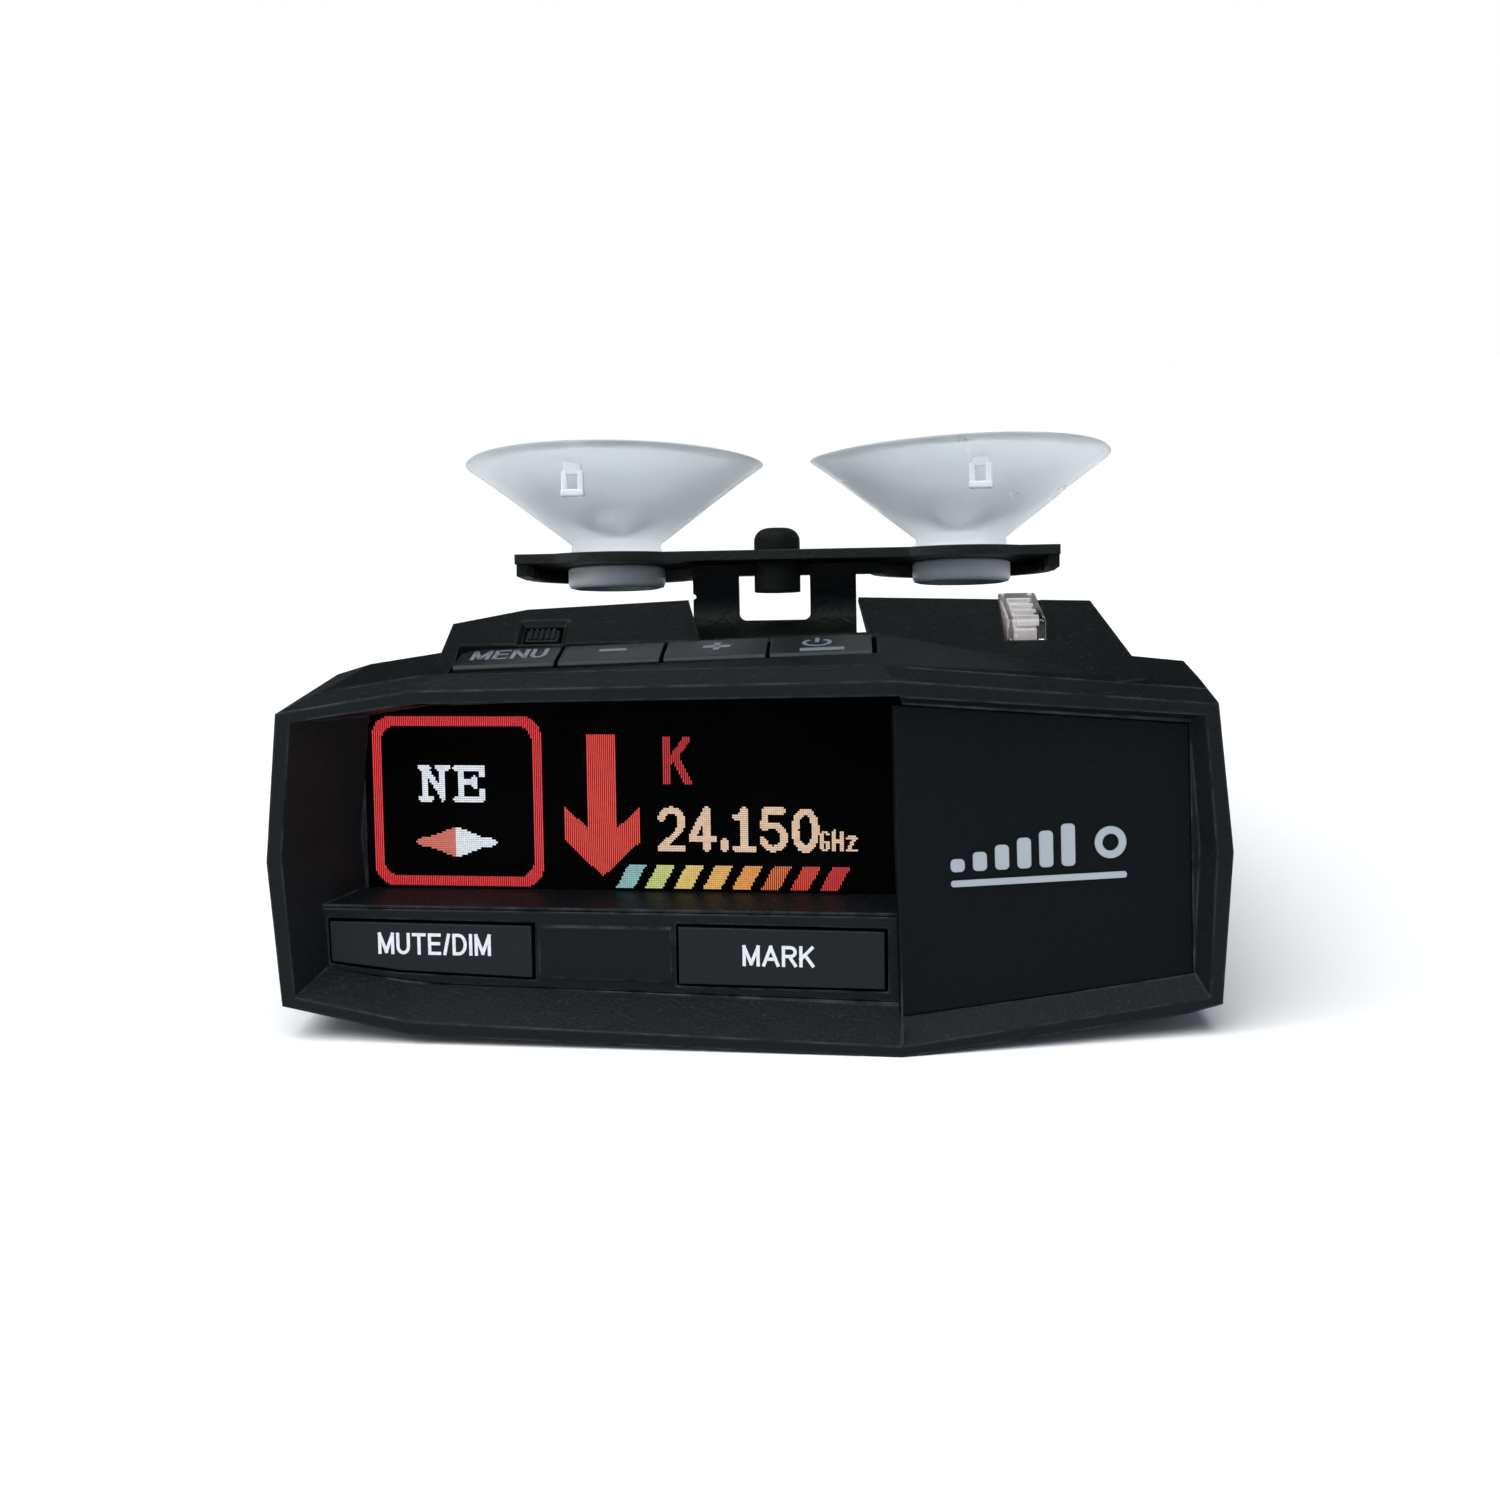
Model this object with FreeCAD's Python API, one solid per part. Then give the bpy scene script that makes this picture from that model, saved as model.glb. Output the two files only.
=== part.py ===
import FreeCAD, Part
import math
import os

os.makedirs("parts", exist_ok=True)

# A dashboard radar detector held to the windscreen by a bracket with two suction cups.
# Millimetres. +Z is up, the display end faces -Y and the road end faces +Y.
# "depth" is the distance behind the foremost point of the display end.

# ---- overall sizes -------------------------------------------------------------------
LENGTH = 118.0           # display end to road end
WIDTH = 91.0             # across the ridges of the side walls
FACE_HEIGHT = 34.5       # display face at its front corner
HUMP_TOP = 39.5          # highest line of the two humps
TOP_FALL = 9.0           # degrees, the top falls to the road end
WALL = 2.0               # moulded wall
FIT_GAP = 0.15           # between pieces that are fixed together
MOVE_GAP = 0.3           # around pieces that move

# ---- display face --------------------------------------------------------------------
CORNER_X = 14.5          # where the two facets of the face meet
LEFT_SWEEP = 5.9         # how far the left end lies behind the corner
RIGHT_SWEEP = 5.6        # how far the right end lies behind the corner
LEAN = 3.0               # top of the corner behind its foot
RIDGE_Z = 17.3           # height of the ridge along each side
END_TOP_Z = 31.4         # face height at its two ends
END_FOOT_Z = 3.0         # underside of the face at its two ends
BEND_X = -31.0           # where the top and bottom edges of the left facet bend
SEAM_DEPTH = WALL + 0.4   # bezel to housing seam behind the face
BROW_RISE = 1.15         # brow chamfer height
END_CHAMFER = 2.0        # top edge of the road end
SIDE_TAPER = 2.4         # how much each side wall closes in towards the road end
SHOULDER_X = 39.5        # inner edge of the left shoulder
BROW_END_X = 44.0        # outer end of the brow chamfer
DECK_END_X = 43.0        # inner edge of the narrow right shoulder
FOLD_X = -29.8           # fold of the deck behind the bend

# ---- recess, window and keys, measured square to the left facet ---------------------
WINDOW_DEPTH = 9.0
WINDOW_THICK = 1.1
KEY_DEPTH = 4.0
SWITCH_DEPTH = 8.6
SHELF_Z = 12.4           # top of the bay behind the front keys
SHELF_FRONT_Z = 12.65    # shelf below the window, at the keys
SHELF_REAR_Z = 13.54     # shelf at the window
BUCKET_DEPTH = 12.2
WINDOW_LEFT = -53.0
WINDOW_TOP = 31.7        # recess ceiling at the window, at the bend of the brow
WINDOW_RISE = 0.8        # how much higher the ceiling is at the corner
DISPLAY_TOP = 30.9
ROAD_WINDOW_TOP = 15.5
SIDE_PANEL_DEPTH = 2.0
SIDE_PANEL_THICK = 1.2

# ---- keys ----------------------------------------------------------------------------
KEY_TRAVEL = 0.5
KEY_PROUD = 0.3
TOP_KEY_PITCH = 10.0
TOP_KEY_WIDTH = TOP_KEY_PITCH - 0.4
TOP_KEY_LONG = 6.7
TOP_KEY_THICK = 1.5
TOP_ROW_X = -7.5         # middle of the row of four keys on top
TOP_ROW_DEPTH = 10.4
POCKET_DEEP = 2.2
POCKET_FLOOR = 0.9
TOP_BOARD_THICK = 0.4
TOP_BOARD_Z = -POCKET_DEEP - POCKET_FLOOR - 0.1 - TOP_BOARD_THICK
ROW_HALF = 2 * TOP_KEY_PITCH

# ---- humps, channel and mount --------------------------------------------------------
DECK_SLOPE = 5.0         # degrees, rising from the brow
HUMP_DEPTH = 17.3        # foot of the humps' front slope
HUMP_SLOPE = 22.0
CREST_DEPTH = 19.0       # where the deck stops rising and the top starts to fall
HUMP_CREST = 25.0        # highest line of the humps
HUMP_END = 112.0
CHANNEL_FLOOR = 29.4
CHANNEL_DEPTH = 19.5     # front wall of the gap between the humps
MOUNT_X = 1.5            # middle of the bracket
CUP_PITCH = 39.8
CUP_RADIUS = 17.2
CUP_HEIGHT = 10.2
BRACKET_TILT = 10.0
PLATE_DEPTH = 50.0       # front edge of the bracket plate
PLATE_Z = 42.0
PLATE_THICK = 1.1
PLATE_WIDTH = 61.0
TONGUE_WIDTH = 10.6
SHEET = 1.4              # thickness of the bracket's legs and tongue
LEG_WIDTH = 5.3
LEG_SPAN = 18.8
BUMPER_RADIUS = 2.6
BUMPER_X = 0.5
PAD_Y = 8.4              # cup pads behind the front edge of the plate
PAD_RADIUS = 10.4
PLATE_SHIFT = 1.6        # plate and cups sit this far off the legs' middle
CUP_X = [PLATE_SHIFT - CUP_PITCH / 2, PLATE_SHIFT + CUP_PITCH / 2]
LEG_FOOT_Z = CHANNEL_FLOOR + 0.4
LEG_DEPTH = 58.0         # rear face of the bracket's legs
LEG_BEND = 6.0           # radius of the bend at their foot

SPLIT_Z = RIDGE_Z        # joint between the upper and lower housings
BOARD_THICK = 1.4
BOARD_Z = 9.6
REAR_HALF = WIDTH / 2 - SIDE_TAPER

# ---- sockets in the left wall --------------------------------------------------------
POWER_DEPTH = 82.0
AUDIO_DEPTH = 66.0
DATA_DEPTH = 52.0
POWER_FACE = -WIDTH / 2 + 1.9
AUDIO_FACE = -WIDTH / 2 + 1.6
DATA_FACE = -WIDTH / 2 + 1.8


def V(x, y, z):
    return FreeCAD.Vector(x, y, z)


def at(x, depth, z):
    """Point given by its distance behind the foremost point."""
    return V(x, depth - LENGTH / 2, z)


def block(x0, x1, d0, d1, z0, z1):
    """Upright box given by its sides."""
    return Part.makeBox(x1 - x0, d1 - d0, z1 - z0, at(x0, d0, z0))


def box(x0, x1, y0, y1, z0, z1):
    """Box in a local frame."""
    return Part.makeBox(x1 - x0, y1 - y0, z1 - z0, V(x0, y0, z0))


def trim(solid, plane, inset, middle):
    """Cut off what lies outside a plane given by three points, seen from a middle."""
    p, q, r = plane
    normal = (q - p).cross(r - p).normalize()
    if normal.dot(middle - p) > 0:
        normal = normal * -1
    size = 4 * LENGTH
    tool = Part.makeBox(size, size, size, V(-size / 2, -size / 2, 0))
    tool.Placement = FreeCAD.Placement(p - normal * inset, FreeCAD.Rotation(V(0, 0, 1), normal))
    return solid.cut(tool)


def prism(points, direction):
    """Polygon pushed along a direction."""
    wire = Part.makePolygon(points + [points[0]])
    return Part.Face(wire).extrude(direction)


def local_prism(outline, y0, y1):
    """Outline of (x, z) pairs pushed from y0 to y1 in a local frame."""
    return prism([V(x, y0, z) for x, z in outline], V(0, y1 - y0, 0))


def rounded(x0, x1, y0, y1, z0, z1, radius):
    """Local box with its four edges along y rounded."""
    solid = box(x0, x1, y0, y1, z0, z1)
    edges = [e for e in solid.Edges if abs(e.Vertexes[0].Y - e.Vertexes[1].Y) > abs(y1 - y0) / 2]
    return solid.makeFillet(radius, edges)


def frame(origin, x_axis, up_hint):
    """Local frame with x along the face, y inwards and z up the face."""
    x_axis = V(x_axis.x, x_axis.y, x_axis.z).normalize()
    inward = up_hint.cross(x_axis).normalize()
    up = x_axis.cross(inward).normalize()
    return FreeCAD.Placement(origin, FreeCAD.Rotation(x_axis, inward, up, "XZY"))


CORNER_FOOT = at(CORNER_X, 0, 0)
CORNER_TOP = at(CORNER_X - 0.2, LEAN, FACE_HEIGHT)
LEFT_FOOT = at(-WIDTH / 2, LEFT_SWEEP, 0)
RIGHT_FOOT = at(WIDTH / 2, RIGHT_SWEEP, 0)
CORNER_EDGE = CORNER_TOP - CORNER_FOOT
LEFT = frame(CORNER_FOOT, CORNER_FOOT - LEFT_FOOT, CORNER_EDGE)
RIGHT = frame(CORNER_FOOT, RIGHT_FOOT - CORNER_FOOT, CORNER_EDGE)


def placed(solid, placement):
    """Copy of a local solid set in its place."""
    out = solid.copy()
    out.Placement = placement.multiply(out.Placement)
    return out


def face_plane(side):
    """Plane of one facet of the display face."""
    far = LEFT_FOOT if side == "left" else RIGHT_FOOT
    return (CORNER_FOOT, far, CORNER_TOP)


def on_crest(point):
    """Point of the deck moved up its slope to the crest."""
    run = CREST_DEPTH - (point.y + LENGTH / 2)
    return point + V(0, run, run * math.tan(math.radians(DECK_SLOPE)))


def body_planes():
    """Planes that bound the case without its humps."""
    half = WIDTH / 2
    top_half = half - 1.45
    foot_half = half - 1.0
    deck_z = FACE_HEIGHT + BROW_RISE
    rise = 10 * math.tan(math.radians(DECK_SLOPE))
    end = at(0, LENGTH, 0)
    planes = [face_plane("left"), face_plane("right")]
    planes.append((V(0, 0, 0), V(1, 0, 0), V(0, 1, 0)))
    planes.append((end, end + V(1, 0, 0), end + V(0, 0, 1)))
    for s in (-1, 1):
        ridge = at(s * half, 8, RIDGE_Z)
        ridge_rear = at(s * REAR_HALF, LENGTH, RIDGE_Z)
        planes.append((ridge, ridge_rear, at(s * top_half, 8, END_TOP_Z)))
        planes.append((ridge, ridge_rear, at(s * foot_half, 8, END_FOOT_Z)))
        planes.append((at(s * foot_half, 8, END_FOOT_Z), at(s * foot_half, 60, END_FOOT_Z), at(s * 30, 8, 0)))
        corner = at(s * (REAR_HALF - 9), LENGTH, 0)
        planes.append((corner, corner + V(0, 0, 1), at(s * REAR_HALF, LENGTH - 7, 0)))
    # shoulders: wide on the left, narrow on the right
    left_edge = at(-top_half, 8, END_TOP_Z)
    right_edge = at(top_half, 8, END_TOP_Z - 0.2)
    back = V(0, 52, 0)
    planes.append((left_edge, left_edge + back, at(-SHOULDER_X, 8, END_TOP_Z + 2.0)))
    planes.append((right_edge, right_edge + back, at(DECK_END_X, 8, END_TOP_Z + 1.3)))
    # deck behind the brow, in three panels
    left_fold = at(FOLD_X, LEAN + SEAM_DEPTH + 4.35, deck_z - 0.95)
    corner_fold = at(CORNER_X - 1.5, LEAN + SEAM_DEPTH, deck_z)
    planes.append((left_fold, corner_fold, corner_fold + V(0, 10, rise)))
    left_end = at(-SHOULDER_X, LEAN + SEAM_DEPTH + 5.3, deck_z - 2.25)
    right_end = at(DECK_END_X, LEAN + SEAM_DEPTH + 5.1, deck_z - 3.0)
    planes.append((left_fold, left_end, left_fold + V(0, 10, rise)))
    planes.append((corner_fold, right_end, corner_fold + V(0, 10, rise)))
    # behind each panel the top falls to the road end, and ends in a chamfer
    fall = V(0, 10, -10 * math.tan(math.radians(TOP_FALL)))
    for a, b in ((left_fold, corner_fold), (left_fold, left_end), (corner_fold, right_end)):
        crest = on_crest(a)
        planes.append((crest, on_crest(b), crest + fall))
    end_top = on_crest(corner_fold) + fall * ((LENGTH - CREST_DEPTH - END_CHAMFER) / 10)
    planes.append((end_top, end_top + V(1, 0, 0), end_top + V(0, END_CHAMFER, -END_CHAMFER)))
    # brow chamfer along the top of the face
    bend_top = at(BEND_X, 7.5, FACE_HEIGHT - 0.9)
    planes.append((at(-BROW_END_X, 8.6, END_TOP_Z + 0.1), bend_top, left_fold))
    planes.append((bend_top, CORNER_TOP, corner_fold))
    planes.append((CORNER_TOP, at(BROW_END_X, 8.1, END_TOP_Z - 0.3), corner_fold))
    # underside rising towards the ends of the face
    bend_foot = at(BEND_X - 0.5, 4.6, 0.9)
    planes.append((CORNER_FOOT, bend_foot, at(BEND_X, 16, 0)))
    planes.append((bend_foot, at(-foot_half, 6.2, END_FOOT_Z + 0.4), at(BEND_X, 16, 0)))
    planes.append((CORNER_FOOT, at(foot_half, 5.6, END_FOOT_Z - 0.4), at(-BEND_X, 16, 0)))
    return planes


def body_form(inset):
    """Case without humps, with every face moved inwards."""
    solid = block(-WIDTH, WIDTH, -LENGTH, 2 * LENGTH, -WIDTH, WIDTH)
    for plane in body_planes():
        solid = trim(solid, plane, inset, at(0, LENGTH / 2, RIDGE_Z))
    return solid


def hump_planes(side):
    """Planes that bound one hump."""
    deck_z = FACE_HEIGHT + BROW_RISE + 0.9
    run = 10.0
    rise = run * math.tan(math.radians(HUMP_SLOPE))
    foot = at(0, HUMP_DEPTH, deck_z - 0.1)
    planes = [(foot, foot + V(1, 0, 0), foot + V(0, run, rise))]
    crest_z = HUMP_TOP
    far_z = HUMP_TOP - (HUMP_END - HUMP_CREST) * math.tan(math.radians(TOP_FALL))
    if side == "left":
        inner, outer, drop = -6.2, -22.0, 0.7
        edge = at(-29.2, HUMP_CREST, crest_z - 2.1)
        planes.append((at(-4.25, 17, 36.5), at(-9.3, 50, 36.5), at(-4.7, 17, crest_z)))
        planes.append((at(outer, HUMP_CREST, crest_z - drop), at(outer, HUMP_END, far_z - drop), edge))
        planes.append((edge, edge + V(0, 10, 0), at(-29.6, HUMP_CREST, 34.6)))
    else:
        inner, outer, drop = 10.8, 34.1, 0.8
        edge = at(outer, HUMP_CREST, crest_z - drop)
        planes.append((at(11.9, 17, 36.5), at(12.5, 50, 36.5), at(inner, 17, crest_z)))
        planes.append((edge, edge + V(0, 10, 0), at(37.1, HUMP_CREST, 34.4)))
    ridge = at(inner, HUMP_CREST, crest_z)
    planes.append((ridge, at(outer, HUMP_CREST, crest_z - drop), at(inner, HUMP_END, far_z)))
    planes.append((at(0, HUMP_END, 20), at(1, HUMP_END, 20), at(0, HUMP_END - 4, 32)))
    flank = -34.0 if side == "left" else 38.5
    planes.append((at(flank, 0, 0), at(flank, 10, 0), at(flank, 0, 10)))
    return planes


def hump_form(side, inset):
    """One hump down to the middle of the case."""
    solid = block(-WIDTH, WIDTH, 0, LENGTH, RIDGE_Z + 1, WIDTH)
    middle = at(-16, 60, 30) if side == "left" else at(24, 60, 30)
    for plane in hump_planes(side):
        solid = trim(solid, plane, inset, middle)
    return solid


def in_front(depth):
    """Everything nearer than a depth square to the two facets."""
    size = LENGTH
    left = placed(box(-size, size, -size, depth, -size, size), LEFT)
    right = placed(box(-size, size, -size, depth, -size, size), RIGHT)
    return left.fuse(right)


def channel(grow):
    """Gap between the humps where the bracket stands."""
    front = CHANNEL_DEPTH - grow
    points = [(-4.7 - grow, front), (10.8 + grow, front), (12.5 + grow, 50)]
    points += [(12.5 + grow, LENGTH + 5), (-9.3 - grow, LENGTH + 5), (-9.3 - grow, 50)]
    floor = CHANNEL_FLOOR - grow
    return prism([at(x, d, floor) for x, d in points], V(0, 0, 30))


def deck_frame():
    """Frame of the row of keys: x along the row, y up the deck, z out of it."""
    tilt = math.degrees(math.atan2(0.95, CORNER_X - 1.5 - FOLD_X))
    origin = at(TOP_ROW_X, TOP_ROW_DEPTH, FACE_HEIGHT + BROW_RISE - 0.12)
    turn = FreeCAD.Rotation(V(0, 1, 0), -tilt).multiply(FreeCAD.Rotation(V(1, 0, 0), DECK_SLOPE))
    return FreeCAD.Placement(origin, turn)


DECK = deck_frame()


def key_pocket(grow, deep):
    """Pocket for the row of keys on the deck."""
    edge = 0.3 + grow
    return box(-ROW_HALF - edge, ROW_HALF + edge, -edge, TOP_KEY_LONG + edge, -deep, 8)


def slider_seat(grow):
    """Opening of the mount release on the left hump."""
    return box(-1.9 - grow, 1.9 + grow, 0.3 - grow, 3.9 + grow, -6, 4)


def slider_bevel():
    """Shallow dish around the mount release."""
    wires = []
    for grow, z in ((0.1, -0.5), (0.6, 0.05)):
        points = [V(-1.9 - grow, 0.3 - grow, z), V(1.9 + grow, 0.3 - grow, z)]
        points += [V(1.9 + grow, 3.9 + grow, z), V(-1.9 - grow, 3.9 + grow, z)]
        wires.append(Part.makePolygon(points + [points[0]]))
    return Part.makeLoft(wires, True, True)


def hump_frame(x, up_slope):
    """Frame on the front slope of the humps."""
    origin = at(x, HUMP_DEPTH, FACE_HEIGHT + BROW_RISE + 0.8)
    turn = FreeCAD.Rotation(V(1, 0, 0), HUMP_SLOPE)
    return FreeCAD.Placement(origin + turn.multVec(V(0, up_slope, 0)), turn)


SLIDER = hump_frame(-19.9, 0.2)


def lens_outline(grow):
    """Side view of the clear rear lens, (depth, z)."""
    return [(16.6 - grow, 35.3 - grow), (16.6 - grow, 37.9), (24.6 + grow, 39.75), (24.6 + grow, 35.3 - grow)]


def lens_block(grow):
    """Clear lens let into the right hump."""
    x0, x1 = 25.2 - grow, 28.9 + grow
    points = [at(x0, d, z) for d, z in lens_outline(grow)]
    return prism(points, V(x1 - x0, 0, 0))


def upper_housing():
    """Upper half of the case with the humps, channel and key pocket."""
    shell = body_form(0).fuse([hump_form("left", 0), hump_form("right", 0)])
    cavity = body_form(WALL).fuse([hump_form("left", WALL), hump_form("right", WALL)])
    cavity = cavity.cut(channel(WALL))
    cavity = cavity.cut(placed(key_pocket(1.2, POCKET_DEEP + POCKET_FLOOR), DECK))
    cavity = cavity.cut(lens_block(1.2))
    shell = shell.cut(cavity)
    shell = shell.cut(in_front(SEAM_DEPTH))
    shell = shell.cut(channel(0))
    shell = shell.cut(placed(key_pocket(0, POCKET_DEEP), DECK))
    for i in range(4):
        x = (i - 1.5) * TOP_KEY_PITCH
        shell = shell.cut(placed(box(x - 2.2, x + 2.2, 1.2, 5.6, -8, 0), DECK))
    shell = shell.cut(placed(slider_seat(0), SLIDER))
    shell = shell.cut(placed(slider_bevel(), SLIDER))
    shell = shell.cut(lens_block(FIT_GAP))
    lower = block(-WIDTH, WIDTH, -5, LENGTH + 5, -5, SPLIT_Z)
    shell = shell.cut(lower)
    shell = shell.cut(forward_opening(0.15))
    shell = shell.cut(socket_openings())
    return shell


def lower_housing():
    """Lower half of the case: tray with screw posts and a speaker grille."""
    shell = body_form(0).cut(body_form(WALL))
    shell = shell.cut(in_front(SEAM_DEPTH))
    shell = shell.cut(block(-WIDTH, WIDTH, -5, LENGTH + 5, SPLIT_Z, WIDTH))
    for x, d in screw_places():
        post = Part.makeCylinder(3.2, BOARD_Z - WALL + 0.5, at(x, d, WALL - 0.5))
        shell = shell.fuse(post)
    for x, d in screw_places():
        shell = shell.cut(Part.makeCylinder(1.3, 20, at(x, d, -1)))
        shell = shell.cut(Part.makeCylinder(2.6, 2.7, at(x, d, -1)))
    for i in range(7):
        x = 13.2 + 2.4 * i
        shell = shell.cut(block(x, x + 1.2, 46, 62, -1, WALL + 1))
    shell = shell.cut(block(-26, 6, 36, 66, -1, 0.4))
    shell = shell.cut(forward_opening(0.15))
    shell = shell.cut(socket_openings())
    return shell


def screw_places():
    """The four case screws."""
    return [(-27, 31), (27, 31), (-27, 103), (27, 103)]


def forward_opening(grow):
    """Opening in the road end for the forward window."""
    return block(-26 - grow, 30 + grow, LENGTH - 6, LENGTH + 5, 5 - grow, ROAD_WINDOW_TOP + grow)


def socket_openings():
    """Holes in the left wall for the sockets."""
    power = block(-WIDTH, POWER_FACE + 7.6, POWER_DEPTH - 5.2, POWER_DEPTH + 5.2, 5.6, 13.4)
    audio = Part.makeCylinder(3.2, 16.1, at(AUDIO_FACE - 8.2, AUDIO_DEPTH, 11.9), V(1, 0, 0))
    data = block(-WIDTH, DATA_FACE + 7.7, DATA_DEPTH - 4.2, DATA_DEPTH + 4.2, 10.2, 13.6)
    return power.fuse([audio, data])


def left_recess():
    """Space in front of the window, square to the left facet."""
    size = 70.0
    deep = WINDOW_DEPTH
    near = box(-size, -0.1, -10, deep, -10, 40)
    planes = [
        ((-57.7, 0, 30.7), (-59.0, 0, 17.8), (WINDOW_LEFT, deep, 29.4)),
        ((-59.0, 0, 17.8), (-58.1, 0, 4.3), (WINDOW_LEFT - 0.6, deep, 12.2)),
        ((-57.7, 0, 30.7), (-45.6, 0, 32.5), (-45.6, deep, WINDOW_TOP)),
        ((-45.6, 0, 32.5), (-0.1, 0, 33.3), (-0.1, deep, WINDOW_TOP + WINDOW_RISE)),
        ((-0.1, 0, 1.0), (-46.7, 0, 2.2), (-0.1, KEY_DEPTH, 3.9)),
        ((-46.7, 0, 2.2), (-58.1, 0, 4.3), (-46.7, KEY_DEPTH, 4.85)),
    ]
    middle = V(-30, 1, 18)
    for p, q, r in planes:
        near = trim(near, (V(*p), V(*q), V(*r)), 0, middle)
    slope = (SHELF_REAR_Z - SHELF_FRONT_Z) / (WINDOW_DEPTH - KEY_DEPTH)
    below_shelf = [V(-size, KEY_DEPTH, -10), V(-size, deep + 1, -10)]
    below_shelf += [V(-size, deep + 1, SHELF_REAR_Z + slope), V(-size, KEY_DEPTH, SHELF_FRONT_Z)]
    return near.cut(prism(below_shelf, V(size + 1, 0, 0)))


def right_recess():
    """Shallow space in front of the side panel, square to the right facet."""
    deep = SIDE_PANEL_DEPTH
    near = box(0.2, 40, -10, deep, -10, 40)
    planes = [
        ((0.2, 0, 33.2), (29.3, 0, 30.2), (0.2, deep, 32.6)),
        ((29.3, 0, 30.2), (30.2, 0, 17.4), (28.4, deep, 29.5)),
        ((30.2, 0, 17.4), (29.4, 0, 3.7), (28.5, deep, 5.4)),
        ((0.2, 0, 1.0), (29.4, 0, 3.7), (0.2, deep, 3.2)),
    ]
    middle = V(15, 1, 18)
    for p, q, r in planes:
        near = trim(near, (V(*p), V(*q), V(*r)), 0, middle)
    return near


def panel_outline(gap):
    """Outline of the side panel in the right facet's frame."""
    left = 0.35 + gap
    right = 28.5 - gap
    return [(left, 3.3 + gap), (right, 5.5 + gap), (right - 0.1, 29.4 - gap), (left, 32.4 - gap)]


def window_outline(gap):
    """Outline of the display window in the left facet's frame."""
    left = WINDOW_LEFT - 0.5
    right = -0.25
    foot = SHELF_Z - 0.6
    top = WINDOW_TOP + 0.15
    return [(left + gap, foot + gap), (right - gap, foot + gap), (right - gap, top + WINDOW_RISE - gap),
            (-45.6, top - gap), (left + gap, top - 1.0 - gap)]


def key_bay():
    """Space behind the key bar, square to the left facet."""
    outline = [(-57.0, 6.3), (-45.0, 5.0), (-0.5, 4.2), (-0.5, SHELF_Z), (-57.0, SHELF_Z)]
    return local_prism(outline, KEY_DEPTH - 0.05, BUCKET_DEPTH + 1)


def front_bezel():
    """Front frame: rim, brow, recess walls and the seat of the window."""
    block_front = body_form(0).common(in_front(SEAM_DEPTH))
    sleeve_outline = [(-59, 2.6), (1.15, 2.6), (1.15, WINDOW_TOP + 1.35), (-59, WINDOW_TOP - 0.1)]
    sleeve = placed(local_prism(sleeve_outline, -5, BUCKET_DEPTH), LEFT)
    sleeve = sleeve.common(body_form(WALL + FIT_GAP))
    side_sleeve = placed(box(0.1, 29.2, -1, SIDE_PANEL_DEPTH + SIDE_PANEL_THICK + 1.2, 2.8, 31.0), RIGHT)
    side_sleeve = side_sleeve.common(body_form(WALL + FIT_GAP))
    solid = block_front.fuse([sleeve, side_sleeve])
    solid = solid.cut(placed(left_recess(), LEFT))
    solid = solid.cut(placed(right_recess(), RIGHT))
    solid = solid.cut(placed(local_prism(window_outline(0), WINDOW_DEPTH - 0.02, BUCKET_DEPTH + 1), LEFT))
    solid = solid.cut(placed(key_bay(), LEFT))
    seat = local_prism(panel_outline(0), SIDE_PANEL_DEPTH - 0.1, SIDE_PANEL_DEPTH + SIDE_PANEL_THICK + 0.1)
    solid = solid.cut(placed(seat, RIGHT))
    return solid.removeSplitter()


def display_window():
    """Dark glossy window over the display."""
    return placed(local_prism(window_outline(0.1), WINDOW_DEPTH, WINDOW_DEPTH + WINDOW_THICK), LEFT)


def oled_panel():
    """Glass display panel behind the window."""
    y0 = WINDOW_DEPTH + WINDOW_THICK + 0.1
    return placed(box(-53.0, -3.0, y0, y0 + 1.6, SHELF_Z + 0.2, DISPLAY_TOP), LEFT)


def display_board():
    """Circuit board that carries the display, with its connector."""
    y0 = BUCKET_DEPTH + 0.4
    board = box(-52.5, -3.0, y0, y0 + BOARD_THICK, 6.0, 27.0)
    plug = box(-34, -20, y0 + BOARD_THICK, y0 + BOARD_THICK + 1.6, 8.0, 11.0)
    chip = box(-44, -36, y0 + BOARD_THICK, y0 + BOARD_THICK + 1.2, 15.0, 23.0)
    return placed(board.fuse([plug, chip]), LEFT)


def side_panel():
    """Plain panel on the right facet."""
    y0 = SIDE_PANEL_DEPTH
    return placed(local_prism(panel_outline(0.1), y0, y0 + SIDE_PANEL_THICK), RIGHT)


def panel_mark():
    """Generic raised mark on the side panel: a dot, rising bars and a line."""
    y0 = SIDE_PANEL_DEPTH - 0.2
    y1 = SIDE_PANEL_DEPTH
    pieces = []
    for i in range(6):
        x = 5.4 + 2.1 * i
        high = 1.2 + 0.55 * i
        pieces.append(rounded(x, x + 1.3, y0, y1, 16.6, 16.6 + high, 0.4))
    dot = Part.makeCylinder(1.5, y1 - y0, V(20.6, y0, 18.6), V(0, 1, 0))
    hole = Part.makeCylinder(0.8, y1 - y0, V(20.6, y0, 18.6), V(0, 1, 0))
    pieces.append(dot.cut(hole))
    pieces.append(rounded(5.4, 22.1, y0, y1, 15.2, 15.8, 0.25))
    return placed(Part.makeCompound(pieces), RIGHT)


MUTE_OUTLINE = [(-55.7, 11.05), (-35.7, 10.9), (-35.7, 5.95), (-48.7, 6.4), (-55.6, 7.15)]
MARK_OUTLINE = [(-21.4, 11.05), (-1.9, 10.9), (-1.9, 5.5), (-21.4, 5.65)]
BLANK_OUTLINE = [(-35.0, 10.9), (-22.1, 10.9), (-22.1, 5.75), (-35.0, 5.95)]


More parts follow.
